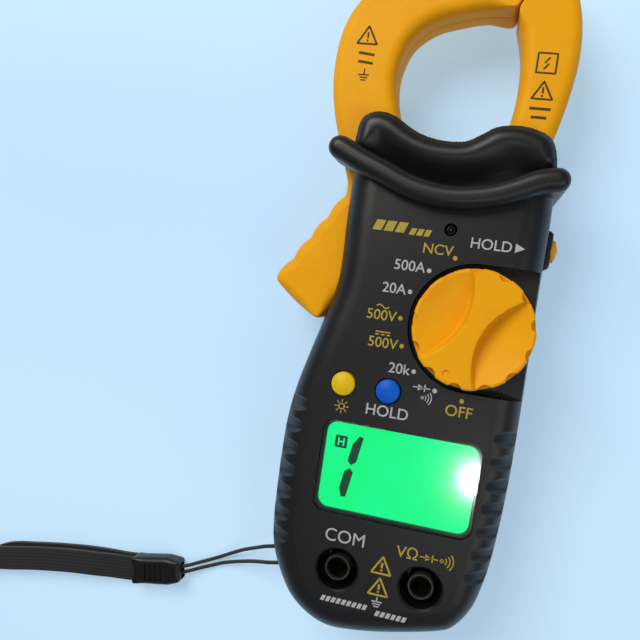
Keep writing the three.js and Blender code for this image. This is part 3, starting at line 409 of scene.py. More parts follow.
def raised(name, loop, low, high, material=None, rollLow=0.0, rollHigh=0.0, steps=6, smooth=35, tight=None):
    # a solid between two heights, its edges rounded; a rounded cap starts a little further in than its roll
    loop = anticlockwise([Vector(p) for p in loop])
    normals, rings, capStart = outward(loop), [], 1.06
    for roll, base, sign in ((rollLow, low, 1), (rollHigh, high, -1)):
        if roll <= 0:
            rings.append([Vector((p.x, p.y, base)) for p in loop])
            continue
        limits = rollLimits(loop, roll, tight)
        turns = [pi / 2 * k / steps for k in range(steps + 1)]
        levels = [[Vector((p.x - n.x * (r * inset), p.y - n.y * (r * inset), base + sign * r * rise))
                   for p, n, r in zip(loop, normals, limits)]
                  for inset, rise in [(capStart, 0)] + [(1 - sin(t), 1 - cos(t)) for t in turns]]
        rings += levels if sign > 0 else levels[::-1]
    return meshObject(name, *stacked(rings), material, smooth)


def ringAt(x, y, radius, height, sides):
    turns = [2 * pi * i / sides for i in range(sides)]
    return [Vector((x + radius * cos(t), y + radius * sin(t), height)) for t in turns]


def lathed(name, x, y, profile, material=None, sides=64, smooth=35):
    # a closed profile of radius and height, turned about an upright line
    verts, faces = [], []
    for level, (radius, height) in enumerate(profile):
        verts += ringAt(x, y, radius, height, sides)
        faces += walls(level * sides, (level + 1) % len(profile) * sides, sides)
    obj = meshObject(name, verts, faces, material, smooth)
    tidy(obj)
    shade(obj, smooth)
    return obj


def pin(radius, low, high):
    # closed profile of a plain round pin
    return [(0.001, low), (radius, low), (radius, high), (0.001, high)]


def tidy(obj, distance=1e-7):
    work = bmesh.new()
    work.from_mesh(obj.data)
    if distance:
        bmesh.ops.remove_doubles(work, verts=work.verts, dist=distance)
        bmesh.ops.dissolve_degenerate(work, edges=work.edges, dist=distance)
    bmesh.ops.recalc_face_normals(work, faces=work.faces)
    work.to_mesh(obj.data)
    work.free()


def turnedAbout(x, y, degrees):
    turn = Matrix.Rotation(radians(degrees), 4, "Z")
    return Matrix.Translation((x * mm, y * mm, 0)) @ turn @ Matrix.Translation((-x * mm, -y * mm, 0))


def settled(obj):
    mesh = bpy.data.meshes.new_from_object(obj.evaluated_get(bpy.context.evaluated_depsgraph_get()))
    obj.modifiers.clear()
    obj.data = mesh
    return obj


def carved(obj, tools, operation="DIFFERENCE", smooth=35):
    for tool in tools:
        step = obj.modifiers.new("carve", "BOOLEAN")
        step.operation, step.solver, step.object = operation, "MANIFOLD", tool
    before = len(obj.data.vertices)
    settled(obj)
    print(obj.name, operation.lower(), len(tools), "tools,", before, "to", len(obj.data.vertices), "points")
    for tool in tools:
        bpy.data.objects.remove(tool)
    shade(obj, smooth)
    return obj


def pegTree():
    # nodes that stand a peg on every point of a mesh
    tree = bpy.data.node_groups.new("pegsOnPoints", "GeometryNodeTree")
    tree.interface.new_socket("Geometry", in_out="OUTPUT", socket_type="NodeSocketGeometry")
    tree.interface.new_socket("Points", in_out="INPUT", socket_type="NodeSocketGeometry")
    kinds = {"Radius": "Float", "Length": "Float", "Lean": "Float", "Sides": "Int", "Finish": "Material"}
    identifiers = {}
    for name, kind in kinds.items():
        socket = tree.interface.new_socket(name, in_out="INPUT", socket_type="NodeSocket" + kind)
        identifiers[name] = socket.identifier
    start, peg, turn, stand, whole, paint, end = [tree.nodes.new(kind) for kind in (
        "NodeGroupInput", "GeometryNodeMeshCylinder", "ShaderNodeCombineXYZ", "GeometryNodeInstanceOnPoints",
        "GeometryNodeRealizeInstances", "GeometryNodeSetMaterial", "NodeGroupOutput")]
    for source, output, target, socket in (
            (start, "Sides", peg, "Vertices"), (start, "Radius", peg, "Radius"), (start, "Length", peg, "Depth"),
            (start, "Lean", turn, "Y"), (start, "Points", stand, "Points"), (peg, "Mesh", stand, "Instance"),
            (turn, "Vector", stand, "Rotation"), (stand, 0, whole, 0), (whole, 0, paint, "Geometry"),
            (start, "Finish", paint, "Material"), (paint, 0, end, 0)):
        tree.links.new(source.outputs[output], target.inputs[socket])
    return tree, identifiers


pegNodes, pegInputs = pegTree()


def pegs(name, points, radius, length, lean=0.0, sides=24, material="casing"):
    obj = meshObject(name, points, [])
    step = obj.modifiers.new("pegs", "NODES")
    step.node_group = pegNodes
    values = {"Radius": radius * mm, "Length": length * mm, "Lean": lean, "Sides": sides,
              "Finish": finish[material]}
    for key, value in values.items():
        step[pegInputs[key]] = value
    settled(obj)
    shade(obj)
    return obj


def joinedUp(name, objects):
    # several meshes kept as one piece
    work = bmesh.new()
    materials = []
    for obj in objects:
        offset = len(work.faces)
        work.from_mesh(obj.data)
        work.faces.ensure_lookup_table()
        for material in obj.data.materials:
            if material not in materials:
                materials.append(material)
        for face in list(work.faces)[offset:]:
            if obj.data.materials:
                face.material_index = materials.index(obj.data.materials[face.material_index])
    mesh = bpy.data.meshes.new(name)
    work.to_mesh(mesh)
    work.free()
    for material in materials:
        mesh.materials.append(material)
    made = newObject(name, mesh)
    for obj in objects:
        bpy.data.objects.remove(obj)
    return made


def settle(obj, body, slot, *nodes):
    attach(obj, body)
    if nodes:
        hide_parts(*nodes)
    return obj


camera = {"place": (11.12, 2.66, 180.49), "looksAt": (-21.57, -4.73, 26.0),
          "upwards": (-0.1513, 0.9884, -0.0152), "lens": 39.377, "sensor": 36, "clip": (0.005, 20)}


def makeCamera():
    data = bpy.data.cameras.new("camera")
    data.sensor_width, data.lens = camera["sensor"], camera["lens"]
    data.clip_start, data.clip_end = camera["clip"]
    obj = newObject("camera", data)
    place = Vector(camera["place"])
    back = (place - Vector(camera["looksAt"])).normalized()
    right = Vector(camera["upwards"]).cross(back).normalized()
    up = back.cross(right)
    obj.matrix_world = Matrix.Translation(place * mm) @ Matrix((right, up, back)).transposed().to_4x4()
    scene.camera = obj


makeCamera()

# wrist strap: a cord through its clip, and the band
cordShape = {"diameter": 1.0, "spacing": 0.7, "sides": 12, "route": [
    (-23.2, -63.87, 7.5), (-25.6, -64.4, 7.5), (-28.4, -65.0, 7.5), (-31.1, -65.8, 7.1), (-34.2, -67.4, 5.6),
    (-37.8, -69.4, 3.6), (-41.2, -71.6, 1.9), (-44.4, -73.6, 1.1), (-47.4, -75.2, 1.0), (-50.4, -76.6, 1.3),
    (-53.2, -77.8, 2.0), (-55.6, -78.5, 2.5), (-58.2, -78.4, 2.5), (-60.4, -79.4, 2.5), (-60.8, -81.2, 2.5),
    (-59.2, -82.4, 2.5), (-57, -81.5, 2.5), (-54.6, -80.0, 2.5), (-52.4, -79.1, 2.0), (-49.6, -77.9, 1.3),
    (-46.6, -76.6, 1.0), (-43.6, -75.2, 1.1), (-40.4, -73.9, 1.9), (-36.8, -72.4, 3.4), (-33.2, -71.0, 5.2),
    (-29.8, -69.9, 6.8), (-26.6, -68.95, 7.5), (-23.6, -68.2, 7.5), (-21, -67.57, 7.5)]}
clipShape = {"start": (-54.4, -79.1), "turn": 10.5, "length": 14.0, "width": 7.6, "height": 5.0}
bandShape = {
    "width": 6.4, "thick": 1.15, "layer": 1.35, "base": 0.35,
    "twist": (-108.0, -127.0), "parted": (1.15, -70, 12),
    "section": [(-0.5, -0.5), (-0.5, 0.5), (-0.3, 0.62), (-0.1, 0.5), (0.1, 0.62), (0.3, 0.5), (0.5, 0.5),
                (0.5, -0.5), (0.3, -0.62), (0.1, -0.5), (-0.1, -0.62), (-0.3, -0.5)],
    "run": [(-66.6, -81.35), (-72, -81.9), (-76, -82.1), (-83.8, -82.8), (-91.6, -83.9), (-99.5, -85.3),
            (-107.5, -87.0)],
    "loop": [(-115, -88.2), (-122, -88.2), (-131, -86), (-142, -81.6), (-153, -78.6), (-164, -79), (-173, -83.8),
             (-177, -92.4), (-174.5, -101.4), (-166, -107), (-155, -107.8), (-144, -104.4), (-133.5, -98.4),
             (-124, -93.2), (-115.8, -91)]}


def weaveMap(mesh, values):
    layer = mesh.uv_layers.new(name="weave")
    for loop in mesh.loops:
        layer.data[loop.index].uv = values[loop.vertex_index]


def measured(name, line):
    length = sum((b - a).length for a, b in zip(line, line[1:])) * mm
    print(name, "length", round(length, 4))
    return [tuple(p * mm) for p in line], length


def eased(share):
    share = min(max(share, 0), 1)
    return share * share * (3 - 2 * share)


def makeCord():
    spacing, sides, radius = cordShape["spacing"], cordShape["sides"], cordShape["diameter"] / 2
    line = evenly(throughPoints(cordShape["route"]), spacing)
    turns = [2 * pi * k / sides for k in range(sides)]
    rings, uvs = [], []
    for i, (p, run) in enumerate(zip(line, headings(line))):
        side = run.cross(Vector((0, 0, 1))).normalized()
        top = side.cross(run)
        rings.append([p + (side * cos(turn) + top * sin(turn)) * radius for turn in turns])
        uvs += [(k / sides, i * spacing * mm) for k in range(sides)]
    obj = meshObject("strapCord", *stacked(rings), "cordWeave", 80)
    tidy(obj)
    weaveMap(obj.data, uvs)
    shade(obj, 80)
    settle(obj, "meter", "webbing", "strap_cord")
    return obj, *measured("cord", line)


def makeClip():
    x, y = clipShape["start"]
    half, length, high = clipShape["width"] / 2, clipShape["length"], clipShape["height"]
    ends = [(0, half - 1.1), (-3.6, half), (-length, half - 0.2)]
    outline = [Vector((x + dx, y + dy, 0)) for dx, dy in ends + [(dx, -dy) for dx, dy in ends[::-1]]]
    loop = softened(evenly(outline, 0.35, True), 5)
    body = raised("strapClip", loop, 0.3, 0.3 + high, "black", 1.2, 1.4, 6)
    wide = clipShape["width"] - 2.6
    ridges = [raised("ridge", roundBox(x - 5.2 - k * 1.5, y, 0.7, wide, 0.3, 3), high - 0.05, high + 1)
              for k in range(4)]
    mouth = raised("mouth", roundBox(x - length, y, 3, clipShape["width"] - 1.6, 0.4, 3), 1.0, 4.4)
    throat = raised("throat", roundBox(x + 0.5, y - 0.1, 3, 4.2, 0.8, 4), 1.4, 3.6)
    carved(body, ridges + [mouth, throat])
    body.data.transform(turnedAbout(x, y, clipShape["turn"]))
    return settle(body, "meter", "black_plastic", "strap_crimp")


def makeBand():
    # out along the top layer, a quarter twist onto its edge, round the wrist loop, and back underneath
    run, upright = bandShape["run"], Vector((0, 0, 1))
    line = evenly(throughPoints(run + bandShape["loop"] + run[::-1]), 1.0)
    high, low = bandShape["twist"]
    thick, width, layer = bandShape["thick"], bandShape["width"], bandShape["layer"]
    lift, partedFrom, partedOver = bandShape["parted"]
    base = bandShape["base"] + thick / 2
    onEdge = bandShape["base"] + width / 2
    far = min(range(len(line)), key=lambda i: line[i].x)
    rings, uvs, path = [], [], []
    for i, (p, heading) in enumerate(zip(line, headings(line))):
        share = min(max((high - p.x) / (high - low), 0), 1)
        turn = pi / 2 * share * share * (3 - 2 * share)
        back = i > far
        if back:
            heading = -heading
        side = Vector((-heading.y, heading.x, 0))
        across = side * cos(turn) + upright * sin(turn)
        normal = upright * cos(turn) - side * sin(turn)
        flat = base + (0 if back else layer + lift * eased((partedFrom - p.x) / partedOver))
        shown = Vector((p.x, p.y, flat + (onEdge - flat) * sin(turn)))
        if not back:
            shown = shown + side * 0.5 * (1 - share)
        path.append(shown)
        rings.append([shown + across * (u * width) + normal * (v * thick) for u, v in bandShape["section"]])
        uvs += [(u + 0.5, i * mm) for u, v in bandShape["section"]]
    verts, faces = stacked(rings)
    obj = meshObject("strapBand", verts, faces[1:-1] + [faces[0], faces[-1]], "webbing", 50)
    weaveMap(obj.data, uvs)
    tidy(obj, 0)
    shade(obj, 50)
    settle(obj, "meter", "webbing", "strap_band_run", "strap_band_loop")
    return obj, *measured("band", path)


cordPiece, cordPath, cordLength = makeCord()
clipPiece = makeClip()
bandPiece, bandPath, bandLength = makeBand()
print("strap made")

case = {
    "parting": 11.0, "gap": 0.06, "face": 26.0, "left": -27.0, "right": 25.1, "foot": -75.4,
    "jawLeft": -13.6, "jawRight": 13.9, "roll": 6.4, "backRoll": 5.0, "wall": 2.0, "roof": 2.4,
    "guardTop": 30.4, "guardWidth": 5.2, "collarTop": 27.1, "valley": 3.0, "rim": 2.9, "slope": 7.5,
    "window": (0.6, -36.9, 36.9, 23.0), "sideKey": (18, 14.6),
    "dial": (12.1, -1.6), "dialWell": 14.1, "dialFloor": 22.0,
    "sockets": ((-9.5, -60.0), (9.5, -60.0)), "socketWell": 4.65,
    "buttons": ((-14.1, -18.0), (-4.0, -18.0)), "buttonHole": 3.0,
    "lamp": (4.2, 19.0), "pivot": (-14.0, 21.5), "lever": 28.6,
    "grooves": 7, "groovePitch": 5.2, "grooveTop": -24.2, "grooveRadius": 2.2, "grooveBite": 1.1,
    "screws": ((-20.8, -60.0), (17.7, -60.0), (-17.6, -11.4), (12.1, 18.6)), "doorScrew": (0.0, -60.0),
    "door": (-0.5, -33.6, 27.0, 58.0), "post": 4.2, "cordHoles": ((-24.2, -64.1), (-21.9, -67.8)),
    "cordHoleZ": 7.5, "cordHoleTurn": 13,
}


def caseOutline():
    left, right, foot = case["left"], case["right"], case["foot"]
    jl, jr = case["jawLeft"], case["jawRight"]
    points = [
        (6.7, foot + 2.6), (14.5, foot + 4.9), (right - 7.4, foot + 6.6), (right - 4.1, foot + 11),
        (right - 2.3, foot + 17), (right - 1.2, foot + 24), (right - 0.3, foot + 37), (right, -26),
        (right - 0.2, 8), (right - 0.4, 30),
        (right - 2.2, 39.4), (right - 3.8, 41.2), (right - 6.4, 42.2), (jr + 0.9, 42.7), (jr - 3.3, 42),
        (jr - 6.6, 39.9), (jr - 9.6, 38.3), (-2, 38.2), (jl + 7.8, 39.2), (jl + 4.9, 40.7), (jl + 2, 42.4),
        (jl - 1.1, 43.1), (left + 9.7, 42.5), (left + 8.1, 41),
        (left + 7.3, 36), (left + 7.1, 20), (left + 7.2, 5), (left + 5, -5), (left + 3, -12.7), (left + 1.1, -20.6),
        (left, -28), (left - 0.3, -37), (left - 0.2, -46), (left + 0.1, -53), (left + 0.9, foot + 16.8),
        (left + 3.2, foot + 11), (left + 7, foot + 5.2), (left + 12, foot + 1.6), (left + 17, foot + 0.1),
        (-3, foot + 0.6)]
    return evenly(throughPoints(points, True), 0.8, True)


def guardLine():
    left, right = case["left"], case["right"]
    return evenly(throughPoints([
        (left + 4.7, 33.8), (left + 6.2, 33.2), (left + 9, 31.8), (left + 14.6, 29.6), (-5, 26.7), (3.2, 25.6),
        (11.3, 26.8), (right - 8.3, 28.9), (right - 3.8, 31.0), (right - 0.6, 31.6)]), 0.8)


outline = caseOutline()


def shrunk(loop, distance):
    return [p - n * distance for p, n in zip(loop, outward(loop))]


def collarCutter():
    # everything above the collar: a rolled rim along the edge, then a long hollow slope down to the guard
    rim, top, low = case["rim"], case["collarTop"], case["face"] - case["valley"]
    pitch, x0, x1, y1 = 0.4, case["left"] - 3, case["right"] + 3, 48
    line = guardLine()
    columns, rows = int((x1 - x0) / pitch) + 1, 66
    pairs = [(p, n) for p, n in zip(outline, outward(outline)) if p.y > 14]
    upper = [p for p in outline if p.y > 38]

    def height(p):
        near, normal = min(pairs, key=lambda pair: (pair[0] - p).length_squared)
        inward = (near - p).dot(normal)
        away = (near - p).length if inward > 0 else -(near - p).length
        # a soft distance to the upper edge, so that the slope has no creases
        pull = sum(1 / max((q - p).length_squared, 0.01) ** 3 for q in upper)
        far = (pull * 0.8 / 1.178) ** -0.2
        slope = top - (top - low) * eased((far - rim) / case["slope"])
        over = min(max((rim - away) / rim, 0), 0.94)
        return slope - rim * (1 - math.sqrt(1 - over * over))

    verts = []
    for i in range(columns):
        x = x0 + i * pitch
        base = min(line, key=lambda p: abs(p.x - x)).y
        for j in range(rows):
            p = Vector((x, base + (y1 - base) * j / (rows - 1), 0))
            verts.append(Vector((p.x, p.y, height(p))))
    count = len(verts)
    verts += [Vector((v.x, v.y, 40)) for v in verts]
    faces = []
    for i in range(columns - 1):
        for j in range(rows - 1):
            a, d = i * rows + j, i * rows + j + 1
            b, c = a + rows, d + rows
            faces += [(d, c, b, a), (a + count, b + count, c + count, d + count)]
    border = [i * rows for i in range(columns)] + [(columns - 1) * rows + j for j in range(1, rows)]
    border += [i * rows + rows - 1 for i in range(columns - 2, -1, -1)] + list(range(rows - 2, 0, -1))
    faces += [(a, b, b + count, a + count) for a, b in zip(border, border[1:] + border[:1])]
    return meshObject("collarCutter", verts, faces)


def collarBlock():
    line = [p for p in guardLine() if case["left"] + 7.6 < p.x < case["right"] - 0.9]
    edge = [p for p in outline if p.y > min(line, key=lambda q: abs(q.x - p.x)).y + 0.3]
    return raised("collarBlock", edge + line, 20, 28)


def sideways(x, y, z):
    return Matrix.Translation(Vector((x, y, z)) * mm) @ Matrix.Rotation(pi / 2, 4, "Y")


def jawPassage():
    x, y = case["pivot"]
    inner = x + 6
    low = math.degrees(math.acos(6 / case["lever"]))
    loop = disc(x, y, case["lever"], 30, 360 - low, -(180 - low))
    loop += [Vector((-60, y, 0)), Vector((-60, 70, 0)), Vector((inner, 70, 0))]
    return raised("passage", loop, 6.3, 20.7)


def grooveTools():
    tools = []
    radius, bite = case["grooveRadius"], case["grooveBite"]
    out = (case["roll"] + radius - bite) * math.sqrt(0.5)
    for side in (-1, 1):
        points = []
        for i in range(case["grooves"]):
            y = case["grooveTop"] - i * case["groovePitch"]
            near = min((p for p in outline if p.x * side > 0), key=lambda p: abs(p.y - y))
            x, z = near.x - side * case["roll"] + side * out, case["face"] - case["roll"] + out
            points.append(Vector((x, y, z)))
        tools.append(pegs("grooves", points, radius, 16, -side * pi / 4, 24))
    return tools


def hollowTools(top):
    inner = shrunk(outline, case["wall"])
    lower = raised("hollow", inner, -1 if top else case["wall"], 20.7 if top else 30)
    if not top:
        return [lower]
    cut = [p for p in shrunk(outline, 4.6) if p.y < 21.5]
    upper = raised("hollowUpper", cut, 20.5, case["face"] - case["roof"])
    x, y = case["dial"]
    carved(upper, [raised("keep", disc(x, y, case["dialWell"] + 2), case["dialFloor"] - 1.6, 40)])
    return [lower, upper]


def makeFrontCasing():
    low = case["parting"] + case["gap"]
    face = case["face"]
    shell = raised("frontCasing", outline, low, face, "casing", 0, case["roll"], 9)
    carved(shell, [collarBlock()], "UNION")
    carved(shell, [collarCutter()] + grooveTools())
    line = softened(strip(guardLine(), case["guardWidth"]), 1)
    guard = raised("guard", line, low, case["guardTop"], "casing", 0, 2.3, 8)
    keyY, keyZ = case["sideKey"]
    pad = roundBox(case["right"] + 0.1, keyY, 2.4, 8.8, 1.1, 6)
    pad = raised("buttonPad", pad, low, 17.8, "casing", 0, 1.0, 5)
    carved(shell, [guard, pad], "UNION")
    carved(shell, hollowTools(True))
    r = case["socketWell"]
    tube = [(r, 11.6), (r + 1, 11.6), (r + 1, 24.6), (r, 24.6)]
    carved(shell, [lathed("socketTube", x, y, tube, "casing") for x, y in case["sockets"]], "UNION")
    wx, wy, ww, wh = case["window"]
    dx, dy = case["dial"]
    well = case["dialWell"]
    cuts = [
        raised("rebate", roundBox(wx, wy, ww - 1.0, wh - 1.6, 2.9), face - 1.4, face + 9),
        raised("opening", roundBox(wx, wy, ww - 2.7, wh - 3.1, 2.5), 15, face + 8),
        raised("dialWell", disc(dx, dy, well, 120), case["dialFloor"], face + 9),
        raised("dialSide", roundBox(dx + 20, dy, 40, 2 * well, 1.2, 4), case["dialFloor"], face + 9),
        raised("shaft", disc(dx, dy, 4.3, 40), 5, face),
        raised("lampHole", disc(*case["lamp"], 1.4, 32), 5, face + 5),
        jawPassage(),
    ]
    cuts += [raised("buttonHole", disc(x, y, case["buttonHole"], 48), 5, face + 5) for x, y in case["buttons"]]
    mouth = [(0.001, 5), (r, 5), (r, face - 0.5), (r + 0.5, face + 0.02), (r + 0.5, face + 4),
             (0.001, face + 4)]
    cuts += [lathed("well", x, y, mouth, None, 72) for x, y in case["sockets"]]
    side = lathed("sideHole", 0, 0, pin(2.85, -4, 6), None, 40)
    side.data.transform(sideways(case["right"], keyY, keyZ))
    carved(shell, cuts + [side])
    return settle(shell, "meter", "casing", "front_casing")


def makeRearCasing():
    high = case["parting"] - case["gap"]
    shell = raised("rearCasing", outline, 0, high, "casing", case["backRoll"], 0, 9)
    line = softened(strip(guardLine(), case["guardWidth"]), 1)
    carved(shell, [raised("guardFoot", line, 1.6, high, "casing", 2.0, 0, 5)], "UNION")
    carved(shell, hollowTools(False))
    x, y, width, height = case["door"]
    doorWell = raised("doorWell", roundBox(x, y, width + 0.6, height + 0.6, 3), -1, 1.9)
    doorHole = raised("doorHole", roundBox(x, y + 2.8, width - 3.4, height - 8.6, 2), -2, 3.2)
    ledge = raised("ledge", roundBox(x, y, width + 3, height + 3, 3), 1.4, 3.4, "casing")
    posts = [raised("post", disc(px, py, case["post"], 40), 1, high, "casing") for px, py in case["screws"]]
    boss = raised("boss", disc(*case["doorScrew"], 2.9, 32), 1.5, 8.6, "casing")
    carved(shell, [ledge, boss] + posts, "UNION")
    cuts = [doorWell, doorHole, jawPassage(), raised("doorBore", disc(*case["doorScrew"], 1.4, 24), -3, 8)]
    well = [(0.001, -4), (3.3, -4), (3.3, -0.02), (2.9, 0.4), (2.9, 2.7), (1.4, 2.7), (1.4, 14), (0.001, 14)]
    cuts += [lathed("screwWell", px, py, well, None, 40) for px, py in case["screws"]]
    turn = radians(case["cordHoleTurn"])
    heading = Vector((-cos(turn), -sin(turn), 0)).to_track_quat("Z", "Y").to_matrix().to_4x4()
    flared = [(0.001, -3), (1.0, -3), (1.0, 1.2), (1.5, 3.2), (0.001, 3.2)]
    for hx, hy in case["cordHoles"]:
        hole = lathed("cordHole", 0, 0, flared, None, 24)
        hole.data.transform(Matrix.Translation(Vector((hx, hy, case["cordHoleZ"])) * mm) @ heading)
        cuts.append(hole)
    carved(shell, cuts)
    return settle(shell, "meter", "casing", "rear_casing")


def makeDoor():
    x, y, width, height = case["door"]
    door = raised("batteryDoor", roundBox(x, y, width, height, 3), 0, 1.6, "casing", 0.4, 0, 3)
    cuts = [raised("grip", roundBox(x, y - 16 + i * 2.2, 13 - abs(i), 1.0, 0.5, 4), -1, 0.55)
            for i in range(-3, 4)]
    well = [(0.001, -4), (3.2, -4), (3.2, -0.02), (2.9, 0.3), (2.9, 0.9), (1.4, 0.9), (1.4, 4), (0.001, 4)]
    cuts.append(lathed("doorScrewWell", *case["doorScrew"], well, None, 40))
    arrow = [Vector((x + dx, y + dy, 0)) for dx, dy in ((-3, 20), (3, 20), (0, 25))]
    cuts.append(raised("arrow", arrow, -1, 0.35))
    carved(door, cuts)
    return settle(door, "meter", "casing", "battery_door")


makeFrontCasing()
makeRearCasing()
makeDoor()
print("case made")

# jaws
jaws = {"back": 7.0, "front": 20.0, "mid": 13.5, "gap": 0.15, "roll": 2.7, "sideLeft": -28.6, "far": 25.8,
        "seamLow": (10.9, 69.9), "seamHigh": (16.5, 82.4), "springRoom": (9.5, -8.7, 5.6)}


def movingOutline():
    jl, out = case["jawLeft"], jaws["sideLeft"]
    px, py = case["pivot"]
    low, high = jaws["seamLow"], jaws["seamHigh"]
    inner = throughPoints([low, (3.5, 69.4), (jl + 12.8, 68.3), (jl + 7.2, 66.4), (jl + 2.2, 62), (jl, 55),
                           (jl + 0.3, 49.5), (jl + 1.6, 45.1), (jl + 3.3, 41), (jl + 5, 33)])
    boss = disc(px, py, 7, 12, 20, -70)
    lower = disc(px, py, 28, 20, 250, -29)
    tip, top = lower[-1], Vector((case["left"] + 5.6, py + 3.2, 0))
    run = top - tip
    side = Vector((-run.y, run.x, 0)).normalized()
    ribs, steps, depth = 4, 60, 0.75
    ridged = [tip + run * (i / steps) + side * (depth * abs(sin(pi * ribs * i / steps)) ** 0.8)
              for i in range(steps + 1)]
    outer = throughPoints([(case["left"] + 5.5, py + 6.5), (out + 3.2, 38.5), (out + 1.4, 44.2), (out + 0.2, 50.3),
                           (out, 58), (out + 1.2, 64.6), (out + 3.9, 70), (out + 9.2, 76.2), (out + 16.4, 80.6),
                           (-3, 82.3), (8.5, 82.8), high])
    loop = inner + boss + [Vector((px + 0.5, py - 13, 0))] + lower + ridged + outer
    return softened(evenly(anticlockwise(loop), 0.5, True), 3)


def fixedOutline():
    jr, far = case["jawRight"], jaws["far"]
    low, high = jaws["seamLow"], jaws["seamHigh"]
    foot = [Vector((jr - 2.6, 24.5, 0)), Vector((22.2, 24.5, 0))]
    outer = throughPoints([(22.2, 36), (far - 2.9, 41.3), (far - 1.6, 47.3), (far - 0.5, 54), (far, 60.5),
                           (far - 0.6, 68), (far - 2.3, 74), (far - 4.8, 78.8), (far - 7, 81.4),
                           (high[0] + 0.7, high[1])])
    inner = throughPoints([(low[0] + 0.4, low[1] - 0.1), (jr - 1.6, 65.5), (jr - 0.4, 60.5), (jr, 53.3),
                           (jr - 0.3, 48.1), (jr - 1, 43.6), (jr - 2.6, 38)])
    return softened(evenly(anticlockwise(foot + outer + inner), 0.5, True), 2)


def springRoom(pivot):
    # hollow that the return spring sweeps inside the jaw as it opens
    x, y = pivot
    run, drop, width = jaws["springRoom"]
    boxes = []
    for k in range(6):
        box = raised("springRoom", roundBox(x + run / 2 + 1.5, y + drop, run, width, 0.5, 3), 10.4, 16.6)
        box.data.transform(turnedAbout(x, y, -6 * k))
        boxes.append(box)
    return boxes


def makeJaw(name, loop, body, nodes, hole=None):
    mid, gap, roll = jaws["mid"], jaws["gap"], jaws["roll"]
    low, high = Vector((*jaws["seamLow"], 0)), Vector((*jaws["seamHigh"], 0))
    run = (high - low).normalized()

    def tight(p):
        # the edges that meet at the seam stay crisp
        off = p - low
        away = abs(off.cross(run).z) + max(-off.dot(run) - 1, 0)
        return 0.3 + max(away - 0.9, 0) * 1.2

    front = raised(name + "Front", loop, mid + gap, jaws["front"], "amber", 0.25, roll, 8, 35, tight)
    rear = raised(name + "Rear", loop, jaws["back"], mid - gap, "amber", roll, 0.25, 8, 35, tight)
    for part, node in ((front, nodes[0]), (rear, nodes[1])):
        if hole:
            carved(part, [raised("pinHole", disc(*hole, 2.8, 40), 0, 30)] + springRoom(hole))
        settle(part, body, "amber_shell", node)


makeJaw("movingJaw", movingOutline(), "jaw", ("moving_jaw_front", "moving_jaw_rear"), case["pivot"])
makeJaw("fixedJaw", fixedOutline(), "meter", ("fixed_jaw_front", "fixed_jaw_rear"))
print("jaws made")

# range dial
dial = {"radius": 13.0, "top": 30.0, "low": 22.3, "waist": 1.9, "flare": 0.036, "scoop": 3.7, "notches": 13,
        "notchRadius": 1.65, "notchFloor": 26.6, "pointer": 157.5}


def makeDial():
    cx, cy = case["dial"]
    bar = radians(dial["pointer"])
    along, across = Vector((-sin(bar), cos(bar), 0)), Vector((cos(bar), sin(bar), 0))
    sides, rims = 240, 44
    radius, top = dial["radius"], dial["top"]
    edge = 0.7

    def height(x, y):
        u, v = x * along.x + y * along.y, abs(x * across.x + y * across.y)
        r = math.hypot(x, y)
        wide = dial["waist"] + dial["flare"] * u * u
        out = min(max((v - wide) / 1.1, 0), 1)
        drop = dial["scoop"] * out * out * (3 - 2 * out) * (1 - 0.80 * (r / radius) ** 2)
        return top - drop + 0.25 * (1 - (r / radius) ** 2) * (1 - out)

    verts, faces = [Vector((cx, cy, height(0, 0)))], []
    levels = [(radius - edge) * (k / rims) ** 0.9 for k in range(1, rims + 1)]
    for r in levels:
        for i in range(sides):
            a = 2 * pi * i / sides
            x, y = r * cos(a), r * sin(a)
            verts.append(Vector((cx + x, cy + y, height(x, y))))
    for k in range(1, 6):
        t = pi / 2 * k / 5
        r = radius - edge + edge * sin(t)
        for i in range(sides):
            a = 2 * pi * i / sides
            base = height((radius - edge) * cos(a), (radius - edge) * sin(a))
            verts.append(Vector((cx + r * cos(a), cy + r * sin(a), base - edge + edge * cos(t))))
    for h in (26.5, dial["low"]):
        verts += ringAt(cx, cy, radius, h, sides)
    rings = rims + 5 + 2
    for i in range(sides):
        faces.append((0, 1 + i, 1 + (i + 1) % sides))
    for level in range(rings - 1):
        for i in range(sides):
            a, b = 1 + level * sides + i, 1 + level * sides + (i + 1) % sides
            faces.append((a, a + sides, b + sides, b))
    last = 1 + (rings - 1) * sides
    faces.append(tuple(range(last + sides - 1, last - 1, -1)))
    knob = meshObject("rangeDial", verts, faces, "amber", 50)
    tidy(knob)
    reach, points = radius + 0.5, []
    for i in range(dial["notches"]):
        a = bar + pi / 2 + (i + 0.5) * 2 * pi / dial["notches"]
        points.append(Vector((cx + reach * cos(a), cy + reach * sin(a), dial["notchFloor"] + 6)))
    cuts = [pegs("notches", points, dial["notchRadius"], 12, 0.0, 28, "amber")]
    tip = Vector((cx, cy, 0)) + along * 10.9
    hollow = [(0.001, top - 0.35), (0.75, top - 0.35), (1.0, top + 1), (0.001, top + 1)]
    cuts.append(lathed("dot", tip.x, tip.y, hollow, None, 32))
    carved(knob, cuts, smooth=40)
    stepped = [(0.001, 16.7), (3, 16.7), (3, 20.1), (4, 20.1), (4, 22.6), (0.001, 22.6)]
    shaft = lathed("dialShaft", cx, cy, stepped, "amber", 48)
    piece = joinedUp("rangeDialKnob", [knob, shaft])
    shade(piece, 40)
    return settle(piece, "dial", "amber_shell", "range_dial")


makeDial()
print("dial made")


